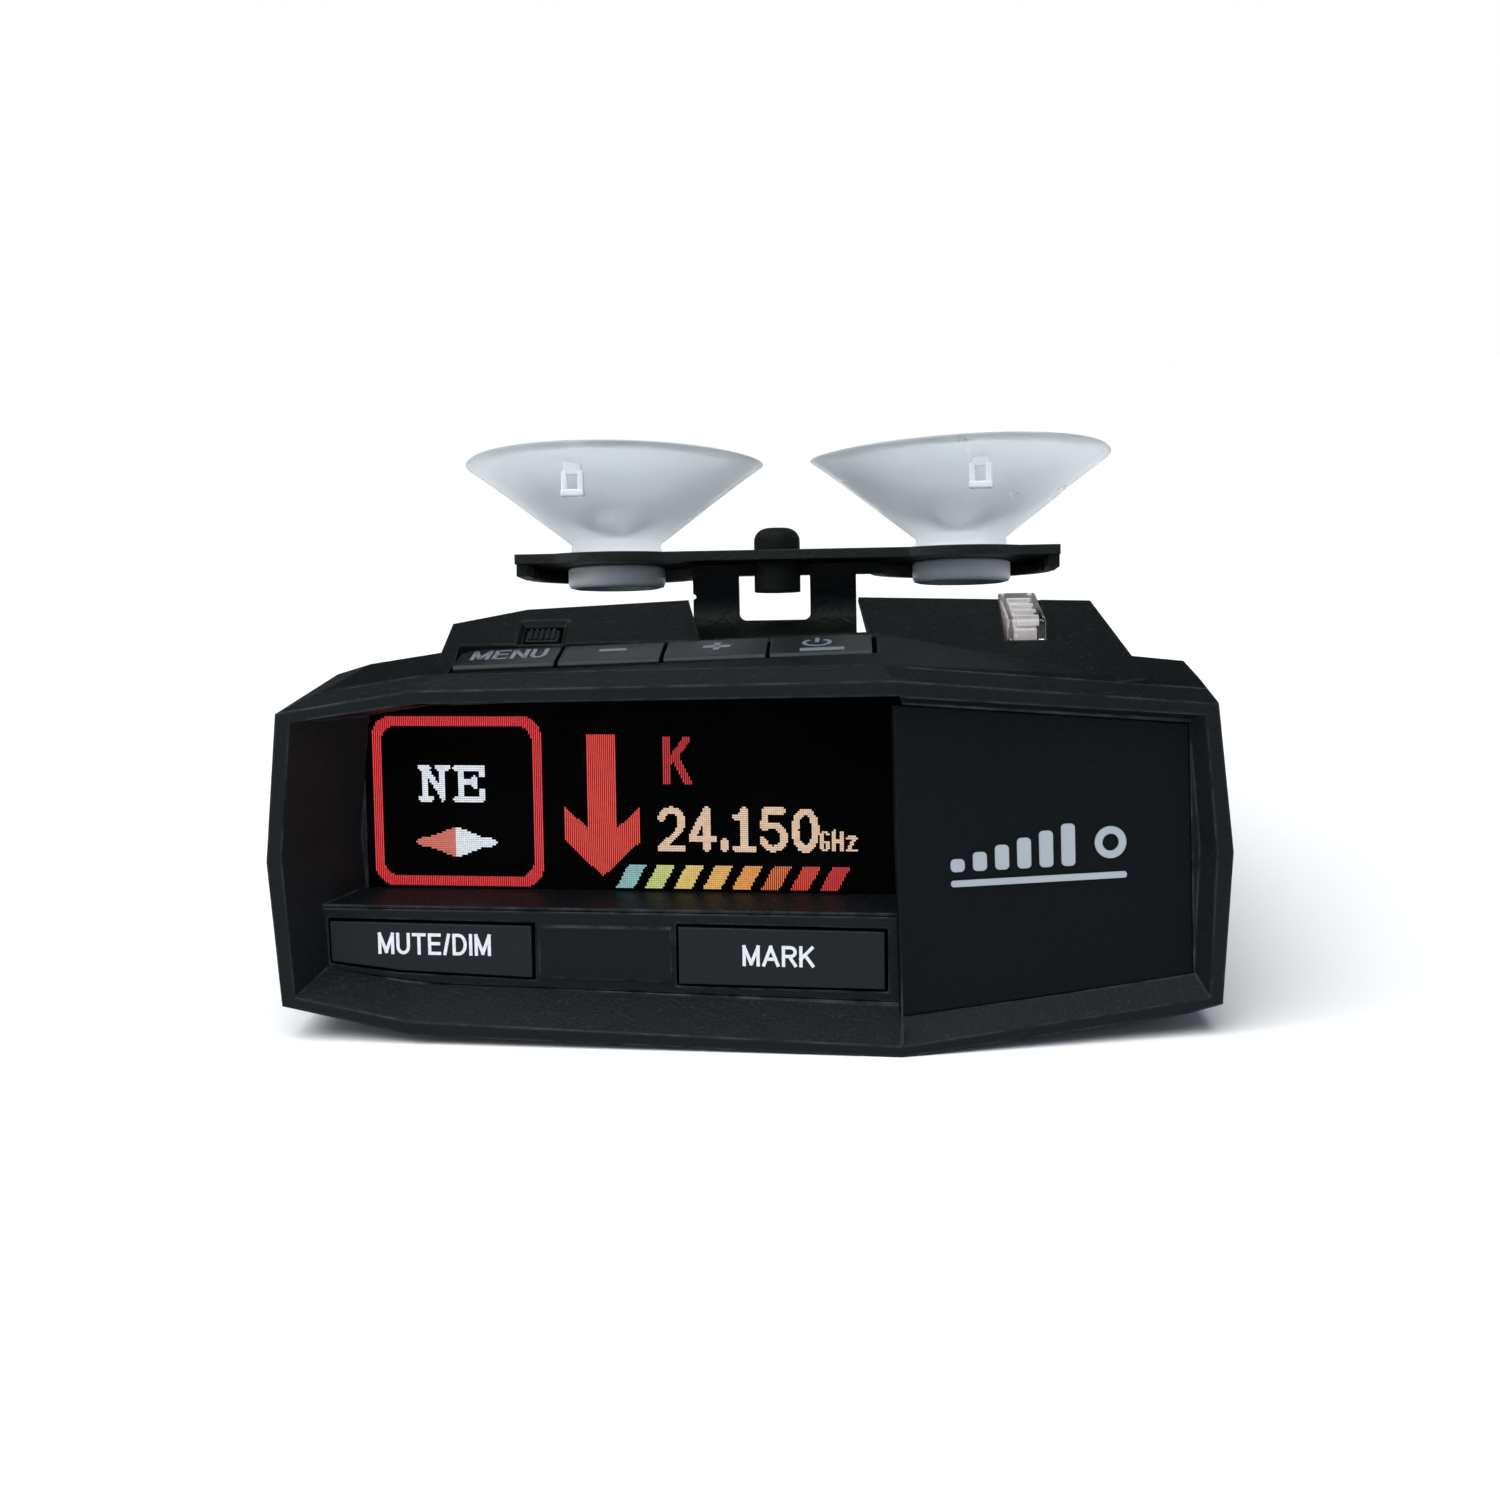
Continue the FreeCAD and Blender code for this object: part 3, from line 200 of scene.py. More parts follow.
class SharedEffects:
    """Shader node groups that several finishes use, each built once."""

    def __init__(self) -> None:
        """Builds every group."""
        self.reliefs = {
            Relief.SPARK: self._spark_relief(),
            Relief.SATIN: self._satin_relief(),
            Relief.CRINKLE: self._crinkle_relief(),
        }
        self.edge_highlight_and_wear = self._edge_highlight_and_wear()
        self.settled_dust = self._settled_dust()

    @staticmethod
    def _spark_relief() -> bpy.types.NodeTree:
        """Builds the texture of a spark-eroded mould.

        Returns:
            The group with the fine pits.
        """
        tree, given, out = new_group(
            "spark_relief", {"Scale": 3200.0}, {"Height": "NodeSocketFloat", "Mottle": "NodeSocketFloat"}
        )
        place = put(tree, "ShaderNodeTexCoord").outputs["Object"]
        pits = put(
            tree, "ShaderNodeTexNoise",
            {"Vector": place, "Scale": given.outputs["Scale"], "Detail": 2.0, "Roughness": 0.6}
        )
        coarse = put(tree, "ShaderNodeTexNoise", {"Vector": place, "Scale": 900.0, "Detail": 1.0})
        broad = put(tree, "ShaderNodeTexNoise", {"Vector": place, "Scale": 45.0, "Detail": 3.0})
        height = maths(
            tree, "ADD", pits.outputs["Fac"], maths(tree, "MULTIPLY", coarse.outputs["Fac"], 0.6)
        )
        tree.links.new(height, out.inputs["Height"])
        speck = maths(tree, "MULTIPLY", maths(tree, "SUBTRACT", pits.outputs["Fac"], 0.5), 1.6)
        tree.links.new(maths(tree, "ADD", broad.outputs["Fac"], speck, clamp=True), out.inputs["Mottle"])
        return tree

    @staticmethod
    def _satin_relief() -> bpy.types.NodeTree:
        """Builds a soft, nearly smooth surface.

        Returns:
            The group with faint flow and rub marks.
        """
        tree, given, out = new_group(
            "satin_relief", {"Scale": 1800.0}, {"Height": "NodeSocketFloat", "Mottle": "NodeSocketFloat"}
        )
        place = put(tree, "ShaderNodeTexCoord").outputs["Object"]
        stretched = put(tree, "ShaderNodeMapping", {"Vector": place, "Scale": (0.15, 1.0, 1.0)}).outputs[0]
        rub = put(
            tree, "ShaderNodeTexNoise",
            {"Vector": stretched, "Scale": given.outputs["Scale"], "Detail": 3.0}
        )
        cloud = put(
            tree, "ShaderNodeTexNoise", {"Vector": place, "Scale": 120.0, "Detail": 4.0, "Roughness": 0.6}
        )
        tree.links.new(rub.outputs["Fac"], out.inputs["Height"])
        tree.links.new(cloud.outputs["Fac"], out.inputs["Mottle"])
        return tree

    @staticmethod
    def _crinkle_relief() -> bpy.types.NodeTree:
        """Builds the skin of a powder coat on sheet steel.

        Returns:
            The group with the wrinkles.
        """
        tree, given, out = new_group(
            "crinkle_relief", {"Scale": 1500.0}, {"Height": "NodeSocketFloat", "Mottle": "NodeSocketFloat"}
        )
        place = put(tree, "ShaderNodeTexCoord").outputs["Object"]
        bend = put(tree, "ShaderNodeTexNoise", {"Vector": place, "Scale": 700.0, "Detail": 1.0})
        pushed = put(
            tree, "ShaderNodeVectorMath", {0: bend.outputs["Color"], "Scale": 0.0012}, operation="SCALE"
        ).outputs[0]
        warped = put(tree, "ShaderNodeVectorMath", {0: place, 1: pushed}, operation="ADD").outputs[0]
        cells = put(
            tree, "ShaderNodeTexVoronoi",
            {"Vector": warped, "Scale": given.outputs["Scale"], "Smoothness": 0.6}, feature="SMOOTH_F1"
        )
        fine = put(tree, "ShaderNodeTexNoise", {"Vector": place, "Scale": 4200.0, "Detail": 2.0})
        height = maths(
            tree, "ADD", cells.outputs["Distance"], maths(tree, "MULTIPLY", fine.outputs["Fac"], 0.35)
        )
        tree.links.new(height, out.inputs["Height"])
        tree.links.new(fine.outputs["Fac"], out.inputs["Mottle"])
        return tree

    @staticmethod
    def _edge_highlight_and_wear() -> bpy.types.NodeTree:
        """Builds rounded edges and the mask for a painted highlight and wear along them.

        Returns:
            The group with rounded edge normals and a mask of the edges that get the painted edge highlight
            and wear colour.
        """
        tree, given, out = new_group(
            "edge_highlight_and_wear", {"Radius": 0.0003}, {"Normal": "NodeSocketVector", "Edge": "NodeSocketFloat"}
        )
        soft = put(
            tree, "ShaderNodeBevel", {"Radius": given.outputs["Radius"]}, samples=4
        ).outputs["Normal"]
        flat = put(tree, "ShaderNodeNewGeometry").outputs["True Normal"]
        agree = put(
            tree, "ShaderNodeVectorMath", {0: soft, 1: flat}, operation="DOT_PRODUCT"
        ).outputs["Value"]
        turned = put(
            tree, "ShaderNodeMapRange", {"Value": agree, "From Min": 0.995, "From Max": 0.80}
        ).outputs["Result"]
        place = put(tree, "ShaderNodeTexCoord").outputs["Object"]
        broken = put(
            tree, "ShaderNodeTexNoise", {"Vector": place, "Scale": 420.0, "Detail": 3.0}
        ).outputs["Fac"]
        broken = put(
            tree, "ShaderNodeMapRange", {"Value": broken, "From Min": 0.35, "From Max": 0.65}
        ).outputs["Result"]
        # The Edge mask lays the painted edge highlight, broken up with noise like wear.
        tree.links.new(soft, out.inputs["Normal"])
        tree.links.new(maths(tree, "MULTIPLY", turned, broken, clamp=True), out.inputs["Edge"])
        return tree

    @staticmethod
    def _settled_dust() -> bpy.types.NodeTree:
        """Builds the thin dust on level faces.

        Returns:
            The group with the mask of the dust.
        """
        tree, given, out = new_group("settled_dust", {"Amount": 0.1}, {"Mask": "NodeSocketFloat"})
        place = put(tree, "ShaderNodeTexCoord").outputs["Object"]
        specks = put(
            tree, "ShaderNodeTexNoise", {"Vector": place, "Scale": 2600.0, "Detail": 2.0}
        ).outputs["Fac"]
        specks = put(
            tree, "ShaderNodeMapRange", {"Value": specks, "From Min": 0.60, "From Max": 0.74}
        ).outputs["Result"]
        drift = put(
            tree, "ShaderNodeTexNoise", {"Vector": place, "Scale": 70.0, "Detail": 3.0}
        ).outputs["Fac"]
        level = put(
            tree, "ShaderNodeSeparateXYZ", {0: put(tree, "ShaderNodeNewGeometry").outputs["True Normal"]}
        ).outputs["Z"]
        level = put(
            tree, "ShaderNodeMapRange", {"Value": level, "From Min": 0.2, "From Max": 0.95}
        ).outputs["Result"]
        lying = maths(tree, "MULTIPLY", maths(tree, "MULTIPLY", specks, drift), level)
        tree.links.new(
            maths(tree, "MULTIPLY", lying, given.outputs["Amount"], clamp=True), out.inputs["Mask"]
        )
        return tree


EFFECTS = SharedEffects()


def use(tree: bpy.types.NodeTree, group: bpy.types.NodeTree, **values: float) -> bpy.types.Node:
    """Places a shared group.

    Args:
        tree: The material's node tree.
        group: The group.
        **values: Its input values, with _ for a space.

    Returns:
        The group node.
    """
    node = put(tree, "ShaderNodeGroup", node_tree=group)
    for name, value in values.items():
        node.inputs[name.replace("_", " ")].default_value = value
    return node


def blend_colour(
    tree: bpy.types.NodeTree, mask: bpy.types.NodeSocket, a: object, b: object
) -> bpy.types.NodeSocket:
    """Mixes two colours.

    Args:
        tree: The node tree.
        mask: 0 gives a, 1 gives b.
        a: First colour or socket.
        b: Second colour or socket.

    Returns:
        The mixed colour's socket.
    """
    node = put(tree, "ShaderNodeMix", {0: mask}, data_type="RGBA")
    for index, value in ((6, a), (7, b)):
        if isinstance(value, bpy.types.NodeSocket):
            tree.links.new(value, node.inputs[index])
        else:
            node.inputs[index].default_value = (*value, 1.0)
    return node.outputs[2]


@dataclass(frozen=True)
class Moulding:
    """Opaque moulded, coated or cast surface with grain, soft edges, a painted highlight and wear along the
    edges, and dust.
    """

    name: str
    colour: Colour
    mottle: Colour
    edge: Colour
    roughness: tuple[float, float]
    relief: Relief = Relief.SPARK
    scale: float = 3200.0
    depth: float = 0.00002
    radius: float = 0.0003
    highlight_and_wear: float = 0.35
    dust: float = 0.12
    metallic: float = 0.0
    specular: float = 0.5
    coat: float = 0.0

    def build(self) -> bpy.types.Material:
        """Builds the finish.

        Returns:
            The material.
        """
        material = bpy.data.materials.new(self.name)
        material.use_nodes = True
        tree = material.node_tree
        shader = tree.nodes["Principled BSDF"]
        grain = use(tree, EFFECTS.reliefs[self.relief], Scale=self.scale)
        edges = use(tree, EFFECTS.edge_highlight_and_wear, Radius=self.radius)
        dust = use(tree, EFFECTS.settled_dust, Amount=self.dust)
        base = blend_colour(tree, grain.outputs["Mottle"], self.colour, self.mottle)
        # Lighter edge colour along the edges: a painted edge highlight, partly wear.
        highlight_and_wear_mask = maths(tree, "MULTIPLY", edges.outputs["Edge"], self.highlight_and_wear)
        base = blend_colour(tree, highlight_and_wear_mask, base, self.edge)
        base = blend_colour(tree, dust.outputs["Mask"], base, (0.22, 0.21, 0.20))
        tree.links.new(base, shader.inputs["Base Color"])
        low, high = self.roughness
        rough = put(
            tree, "ShaderNodeMapRange", {"Value": grain.outputs["Mottle"], "To Min": low, "To Max": high}
        ).outputs["Result"]
        tree.links.new(
            maths(tree, "SUBTRACT", rough, maths(tree, "MULTIPLY", highlight_and_wear_mask, 0.15), clamp=True),
            shader.inputs["Roughness"]
        )
        bump = put(
            tree, "ShaderNodeBump",
            {"Height": grain.outputs["Height"], "Normal": edges.outputs["Normal"], "Distance": self.depth}
        )
        tree.links.new(bump.outputs["Normal"], shader.inputs["Normal"])
        shader.inputs["Metallic"].default_value = self.metallic
        shader.inputs["Specular IOR Level"].default_value = self.specular
        shader.inputs["Coat Weight"].default_value = self.coat
        shader.inputs["Coat Roughness"].default_value = 0.12
        return material


@dataclass(frozen=True)
class ClearMoulding:
    """Clear or frosted plastic that light passes through."""

    name: str
    tint: Colour
    haze: Colour
    roughness: tuple[float, float]
    transmission: float = 1.0
    ior: float = 1.49
    haze_scale: float = 160.0
    depth: float = 0.000015

    def build(self) -> bpy.types.Material:
        """Builds the finish.

        Returns:
            The material.
        """
        material = bpy.data.materials.new(self.name)
        material.use_nodes = True
        tree = material.node_tree
        shader = tree.nodes["Principled BSDF"]
        place = put(tree, "ShaderNodeTexCoord").outputs["Object"]
        clouds = put(
            tree, "ShaderNodeTexNoise",
            {"Vector": place, "Scale": self.haze_scale, "Detail": 4.0, "Roughness": 0.6}
        )
        ripple = put(
            tree, "ShaderNodeTexNoise", {"Vector": place, "Scale": self.haze_scale * 9, "Detail": 2.0}
        )
        tree.links.new(
            blend_colour(tree, clouds.outputs["Fac"], self.tint, self.haze), shader.inputs["Base Color"]
        )
        low, high = self.roughness
        rough = put(
            tree, "ShaderNodeMapRange",
            {
                "Value": clouds.outputs["Fac"], "From Min": 0.3, "From Max": 0.7, "To Min": low,
                "To Max": high
            }
        )
        tree.links.new(rough.outputs["Result"], shader.inputs["Roughness"])
        bump = put(tree, "ShaderNodeBump", {"Height": ripple.outputs["Fac"], "Distance": self.depth})
        tree.links.new(bump.outputs["Normal"], shader.inputs["Normal"])
        shader.inputs["Transmission Weight"].default_value = self.transmission
        shader.inputs["IOR"].default_value = self.ior
        return material


@dataclass(frozen=True)
class LitInk:
    """Lit dots or letters, whose colour is the piece's own ink attribute or one fixed colour."""

    name: str
    colour: Colour
    strength: float
    per_dot: bool = False
    grain: float = 2500.0

    def build(self) -> bpy.types.Material:
        """Builds the finish.

        Returns:
            The material.
        """
        material = bpy.data.materials.new(self.name)
        material.use_nodes = True
        tree = material.node_tree
        shader = tree.nodes["Principled BSDF"]
        place = put(tree, "ShaderNodeTexCoord").outputs["Object"]
        uneven = put(
            tree, "ShaderNodeTexNoise", {"Vector": place, "Scale": self.grain, "Detail": 1.0}
        ).outputs["Fac"]
        uneven = put(
            tree, "ShaderNodeMapRange", {"Value": uneven, "From Min": 0.3, "From Max": 0.7}
        ).outputs["Result"]
        if self.per_dot:
            ink = put(tree, "ShaderNodeAttribute", attribute_name="ink").outputs["Color"]
        else:
            ink = put(tree, "ShaderNodeRGB").outputs[0]
            ink.default_value = (*self.colour, 1.0)
        dim = put(tree, "ShaderNodeVectorMath", {0: ink, "Scale": 0.82}, operation="SCALE").outputs[0]
        glow = blend_colour(tree, uneven, dim, ink)
        tree.links.new(glow, shader.inputs["Emission Color"])
        shader.inputs["Emission Strength"].default_value = self.strength
        shader.inputs["Base Color"].default_value = (0.02, 0.02, 0.02, 1.0)
        material.cycles.emission_sampling = "NONE"
        shader.inputs["Roughness"].default_value = 0.4
        return material


class Palette:
    """Every finish of the detector, built when first asked for."""

    FINISHES: dict[str, Moulding | ClearMoulding | LitInk] = {
        # The third colour of each moulding is its edge colour: a painted edge highlight, partly wear.
        "case": Moulding(
            "case_moulding", (0.0022, 0.0036, 0.0044), (0.0050, 0.0070, 0.0080), (0.080, 0.092, 0.100),
            (0.44, 0.58), depth=0.00007, radius=0.00036, highlight_and_wear=0.75, specular=0.14
        ),
        "deck": Moulding(
            "deck_moulding", (0.0010, 0.0022, 0.0021), (0.0030, 0.0046, 0.0044), (0.050, 0.060, 0.058),
            (0.46, 0.60), depth=0.00006, radius=0.00042, highlight_and_wear=0.7, specular=0.10
        ),
        "panel": Moulding(
            "panel_moulding", (0.0008, 0.0016, 0.0024), (0.0028, 0.0042, 0.0052), (0.020, 0.024, 0.028),
            (0.46, 0.58), depth=0.00007, specular=0.10
        ),
        "key": Moulding(
            "key_moulding", (0.0020, 0.0032, 0.0042), (0.0038, 0.0054, 0.0066), (0.040, 0.046, 0.052),
            (0.34, 0.46), Relief.SATIN, depth=0.000004, radius=0.0002, highlight_and_wear=0.5, specular=0.25
        ),
        "window": Moulding(
            "window_gloss", (0.0012, 0.0012, 0.0014), (0.0020, 0.0020, 0.0024), (0.003, 0.003, 0.004),
            (0.10, 0.16), Relief.SATIN, depth=0.0000005, radius=0.0001, highlight_and_wear=0.1, dust=0.0, specular=0.0
        ),
        "mark": Moulding(
            "mark_print", (0.30, 0.33, 0.37), (0.40, 0.43, 0.47), (0.48, 0.50, 0.53), (0.32, 0.45),
            Relief.SATIN, depth=0.000002, radius=0.00005, highlight_and_wear=0.2
        ),
        "legend": Moulding(
            "legend_print", (0.115, 0.135, 0.155), (0.165, 0.185, 0.21), (0.18, 0.20, 0.22), (0.45, 0.6),
            Relief.SATIN, depth=0.000001, radius=0.00002, highlight_and_wear=0.0
        ),
        "coat": Moulding(
            "bracket_coat", (0.0034, 0.0048, 0.0044), (0.0070, 0.0090, 0.0082), (0.042, 0.046, 0.044),
            (0.34, 0.50), Relief.CRINKLE, scale=1500.0, depth=0.00005, radius=0.0002, highlight_and_wear=0.6, dust=0.15,
            specular=0.25
        ),
        "rubber": Moulding(
            "bumper_rubber", (0.0018, 0.0026, 0.0024), (0.0036, 0.0046, 0.0044), (0.014, 0.016, 0.016),
            (0.55, 0.70), Relief.SATIN, depth=0.00001, radius=0.0003, dust=0.08, specular=0.12
        ),
        "board": Moulding(
            "board_laminate", (0.010, 0.060, 0.030), (0.015, 0.085, 0.042), (0.10, 0.09, 0.04),
            (0.30, 0.45), Relief.SATIN, depth=0.000004
        ),
        "steel": Moulding(
            "screw_steel", (0.30, 0.30, 0.31), (0.42, 0.42, 0.43), (0.62, 0.62, 0.62), (0.28, 0.42),
            Relief.SATIN, depth=0.000003, metallic=1.0
        ),
        "tin": Moulding(
            "shield_tin", (0.45, 0.45, 0.44), (0.55, 0.55, 0.54), (0.70, 0.70, 0.70), (0.25, 0.40),
            Relief.SATIN, depth=0.000003, metallic=1.0
        ),
        "cast": Moulding(
            "horn_casting", (0.32, 0.32, 0.31), (0.42, 0.42, 0.41), (0.60, 0.60, 0.60), (0.40, 0.60),
            depth=0.00003, metallic=1.0
        ),
        "ceramic": Moulding(
            "antenna_ceramic", (0.42, 0.38, 0.30), (0.52, 0.47, 0.38), (0.60, 0.56, 0.48), (0.45, 0.6),
            depth=0.00001
        ),
        "socket": Moulding(
            "socket_plastic", (0.0080, 0.0080, 0.0085), (0.0130, 0.0130, 0.0138), (0.035, 0.035, 0.036),
            (0.38, 0.50), Relief.SATIN, depth=0.000004, radius=0.00015
        ),
        "road": Moulding(
            "road_window", (0.0040, 0.0035, 0.0045), (0.0065, 0.0055, 0.0070), (0.016, 0.015, 0.017),
            (0.14, 0.22), Relief.SATIN, depth=0.000001, radius=0.0002, dust=0.1, coat=0.3
        ),
        "speaker": Moulding(
            "speaker_cone", (0.012, 0.012, 0.013), (0.020, 0.020, 0.021), (0.04, 0.04, 0.04), (0.55, 0.7),
            depth=0.00003
        ),
        "label": Moulding(
            "label_foil", (0.20, 0.21, 0.22), (0.27, 0.28, 0.29), (0.36, 0.37, 0.38), (0.35, 0.5),
            Relief.SATIN, depth=0.000003
        ),
        "label_print": Moulding(
            "label_print", (0.020, 0.022, 0.024), (0.030, 0.032, 0.034), (0.05, 0.05, 0.05), (0.45, 0.6),
            Relief.SATIN, depth=0.000001
        ),
        "gold": Moulding(
            "contact_gold", (0.62, 0.42, 0.14), (0.74, 0.52, 0.20), (0.86, 0.66, 0.32), (0.22, 0.34),
            Relief.SATIN, depth=0.000002, metallic=1.0
        ),
        "lens": ClearMoulding(
            "lens_clear", (0.96, 0.93, 0.93), (1.0, 0.98, 0.98), (0.02, 0.06), haze_scale=400.0,
            depth=0.000004
        ),
        "cup": ClearMoulding(
            "cup_frosted", (0.86, 0.91, 0.94), (0.96, 0.98, 1.0), (0.26, 0.46), transmission=0.80, ior=1.33,
            haze_scale=150.0, depth=0.00003
        ),
        "nub": ClearMoulding(
            "nub_frosted", (0.88, 0.92, 0.96), (0.98, 0.99, 1.0), (0.30, 0.45), transmission=0.10, ior=1.45,
            haze_scale=300.0, depth=0.00003
        ),
        "tab": ClearMoulding(
            "tab_clear", (0.97, 0.98, 1.0), (1.0, 1.0, 1.0), (0.05, 0.12), transmission=0.35, ior=1.42,
            haze_scale=500.0
        ),
        "guide": ClearMoulding(
            "guide_pale", (0.50, 0.46, 0.46), (0.80, 0.76, 0.76), (0.15, 0.30), transmission=0.25, ior=1.45,
            haze_scale=700.0, depth=0.00008
        ),
        "dots": LitInk("display_dots", (1.0, 1.0, 1.0), 1.0, per_dot=True),
        "backlit": LitInk("backlit_legend", (0.86, 0.92, 1.0), 0.95),
    }

    def __init__(self) -> None:
        """Starts with no finish built."""
        self._built: dict[str, bpy.types.Material] = {}

    def get(self, name: str) -> bpy.types.Material:
        """Looks a finish up.

        Args:
            name: The finish's name.

        Returns:
            Its material.
        """
        if name not in self._built:
            self._built[name] = self.FINISHES[name].build()
        return self._built[name]


PALETTE = Palette()


# ---------------------------------------------------------------- pieces


def dress(node: str, finish: str) -> None:
    """Gives a CAD solid its finish.

    Args:
        node: The solid's name.
        finish: The finish's name in the palette.
    """
    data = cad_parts[node].data
    data.materials.clear()
    data.materials.append(PALETTE.get(finish))
    LOG.info("%s dressed as %s", node, finish)


def add_piece(
    name: str, mesh: bpy.types.Mesh, finish: str, body: Body, smooth: bool = False
) -> bpy.types.Object:
    """Puts a finished mesh on the detector.

    Args:
        name: The piece's name.
        mesh: Its mesh, in the frame's metres.
        finish: The finish's name in the palette.
        body: The body it rides on.
        smooth: True to shade it smooth.

    Returns:
        The piece.
    """
    mesh.name = name
    mesh.materials.clear()
    mesh.materials.append(PALETTE.get(finish))
    mesh.polygons.foreach_set("use_smooth", [smooth] * len(mesh.polygons))
    piece = bpy.data.objects.new(name, mesh)
    bpy.context.scene.collection.objects.link(piece)
    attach(piece, body.value)
    LOG.info("%s: %d faces on %s", name, len(mesh.polygons), body.value)
    return piece


def evaluated_mesh(piece: bpy.types.Object) -> bpy.types.Mesh:
    """Applies a piece's modifiers and removes the piece.

    Args:
        piece: The piece.

    Returns:
        A plain copy of its mesh.
    """
    bpy.context.view_layer.update()
    graph = bpy.context.evaluated_depsgraph_get()
    mesh = bpy.data.meshes.new_from_object(piece.evaluated_get(graph), depsgraph=graph)
    bpy.data.objects.remove(piece)
    return mesh


def solid_from(vertices: Iterable[tuple], faces: Iterable[tuple], name: str) -> bpy.types.Mesh:
    """Makes a mesh with its doubles merged and its faces turned outwards.

    Args:
        vertices: Corner points in metres.
        faces: Corner numbers of each face.
        name: The mesh's name.

    Returns:
        The mesh.
    """
    mesh = bpy.data.meshes.new(name)
    mesh.from_pydata(list(vertices), [], list(faces))
    work = bmesh.new()
    work.from_mesh(mesh)
    bmesh.ops.remove_doubles(work, verts=work.verts, dist=1e-7)
    bmesh.ops.recalc_face_normals(work, faces=work.faces)
    work.to_mesh(mesh)
    work.free()
    return mesh


def geometry_tree(name: str, inputs: dict[str, tuple[str, object]]) -> tuple[
    bpy.types.NodeTree, bpy.types.Node, bpy.types.Node
]:
    """Starts a Geometry Nodes tree with named inputs.

    Args:
        name: The tree's name.
        inputs: Socket type and default value of each input.

    Returns:
        The tree, its input node and its output node.
    """
    tree = bpy.data.node_groups.new(name, "GeometryNodeTree")
    tree.interface.new_socket("Geometry", in_out="INPUT", socket_type="NodeSocketGeometry")
    for label, (kind, value) in inputs.items():
        socket = tree.interface.new_socket(label, in_out="INPUT", socket_type=kind)
        if value is not None:
            socket.default_value = value
    tree.interface.new_socket("Geometry", in_out="OUTPUT", socket_type="NodeSocketGeometry")
    return tree, tree.nodes.new("NodeGroupInput"), tree.nodes.new("NodeGroupOutput")


def run_tree(tree: bpy.types.NodeTree, mesh: bpy.types.Mesh, values: dict[str, object]) -> bpy.types.Mesh:
    """Runs a Geometry Nodes tree on a mesh.

    Args:
        tree: The tree.
        mesh: What goes in.
        values: The tree's input values by name.

    Returns:
        The resulting plain mesh.
    """
    carrier = bpy.data.objects.new("carrier", mesh)
    bpy.context.scene.collection.objects.link(carrier)
    modifier = carrier.modifiers.new("repeat", "NODES")
    modifier.node_group = tree
    identifiers = {
        item.name: item.identifier for item in tree.interface.items_tree if item.in_out == "INPUT"
    }
    for name, value in values.items():
        modifier[identifiers[name]] = value
    return evaluated_mesh(carrier)


class BarRow:
    """Geometry Nodes tree for a row of small square-edged bars."""

    def __init__(self) -> None:
        """Builds the tree."""
        vector = ("NodeSocketVector", (0.0, 0.0, 0.0))
        tree, given, out = geometry_tree(
            "bar_row",
            {
                "Count": ("NodeSocketInt", 5), "Start": vector, "Step": vector, "Size": vector,
                "Material": ("NodeSocketMaterial", None)
            }
        )
        line = put(
            tree, "GeometryNodeMeshLine",
            {
                "Count": given.outputs["Count"], "Start Location": given.outputs["Start"],
                "Offset": given.outputs["Step"]
            },
            mode="OFFSET"
        )
        bar = put(tree, "GeometryNodeMeshCube", {"Size": given.outputs["Size"]})
        placed = put(
            tree, "GeometryNodeInstanceOnPoints", {"Points": line.outputs[0], "Instance": bar.outputs[0]}
        )
        real = put(tree, "GeometryNodeRealizeInstances", {0: placed.outputs[0]})
        coloured = put(
            tree, "GeometryNodeSetMaterial",
            {"Geometry": real.outputs[0], "Material": given.outputs["Material"]}
        )
        tree.links.new(coloured.outputs[0], out.inputs[0])
        self.tree = tree

    def mesh(
        self, seat: Seat, count: int, start: tuple, step: tuple, size: tuple, finish: str
    ) -> bpy.types.Mesh:
        """Makes one row.

        Args:
            seat: The place whose axes the row uses.
            count: Number of bars.
            start: Middle of the first bar, in millimetres.
            step: From one bar to the next, in millimetres.
            size: Of one bar, in millimetres.
            finish: The finish's name.

        Returns:
            The row's mesh in the frame.
        """
        scaled = {"Start": start, "Step": step, "Size": size}
        values: dict[str, object] = {key: tuple(v * MM for v in value) for key, value in scaled.items()}
        values |= {"Count": count, "Material": PALETTE.get(finish)}
        mesh = run_tree(self.tree, bpy.data.meshes.new("row"), values)
        mesh.transform(seat.matrix())
        return mesh


BARS = BarRow()


# ---------------------------------------------------------------- display


@dataclass(frozen=True)
class Glyph:
    """A drawn character: strokes in a unit box, and how thick the pen is in dots."""

    strokes: tuple[tuple[Point, ...], ...]
    pen: Point = (3.0, 3.0)


def arc(cx: float, cy: float, rx: float, ry: float, start: float, end: float) -> tuple[Point, ...]:
    """Lays points along an ellipse.

    Args:
        cx: Middle, across.
        cy: Middle, upwards.
        rx: Radius across.
        ry: Radius upwards.
        start: First angle in degrees.
        end: Last angle in degrees.

    Returns:
        The points, from first to last.
    """
    steps = 10
    out = []
    for i in range(steps + 1):
        angle = math.radians(start + (end - start) * i / steps)
        out.append((cx + rx * math.cos(angle), cy + ry * math.sin(angle)))
    return tuple(out)


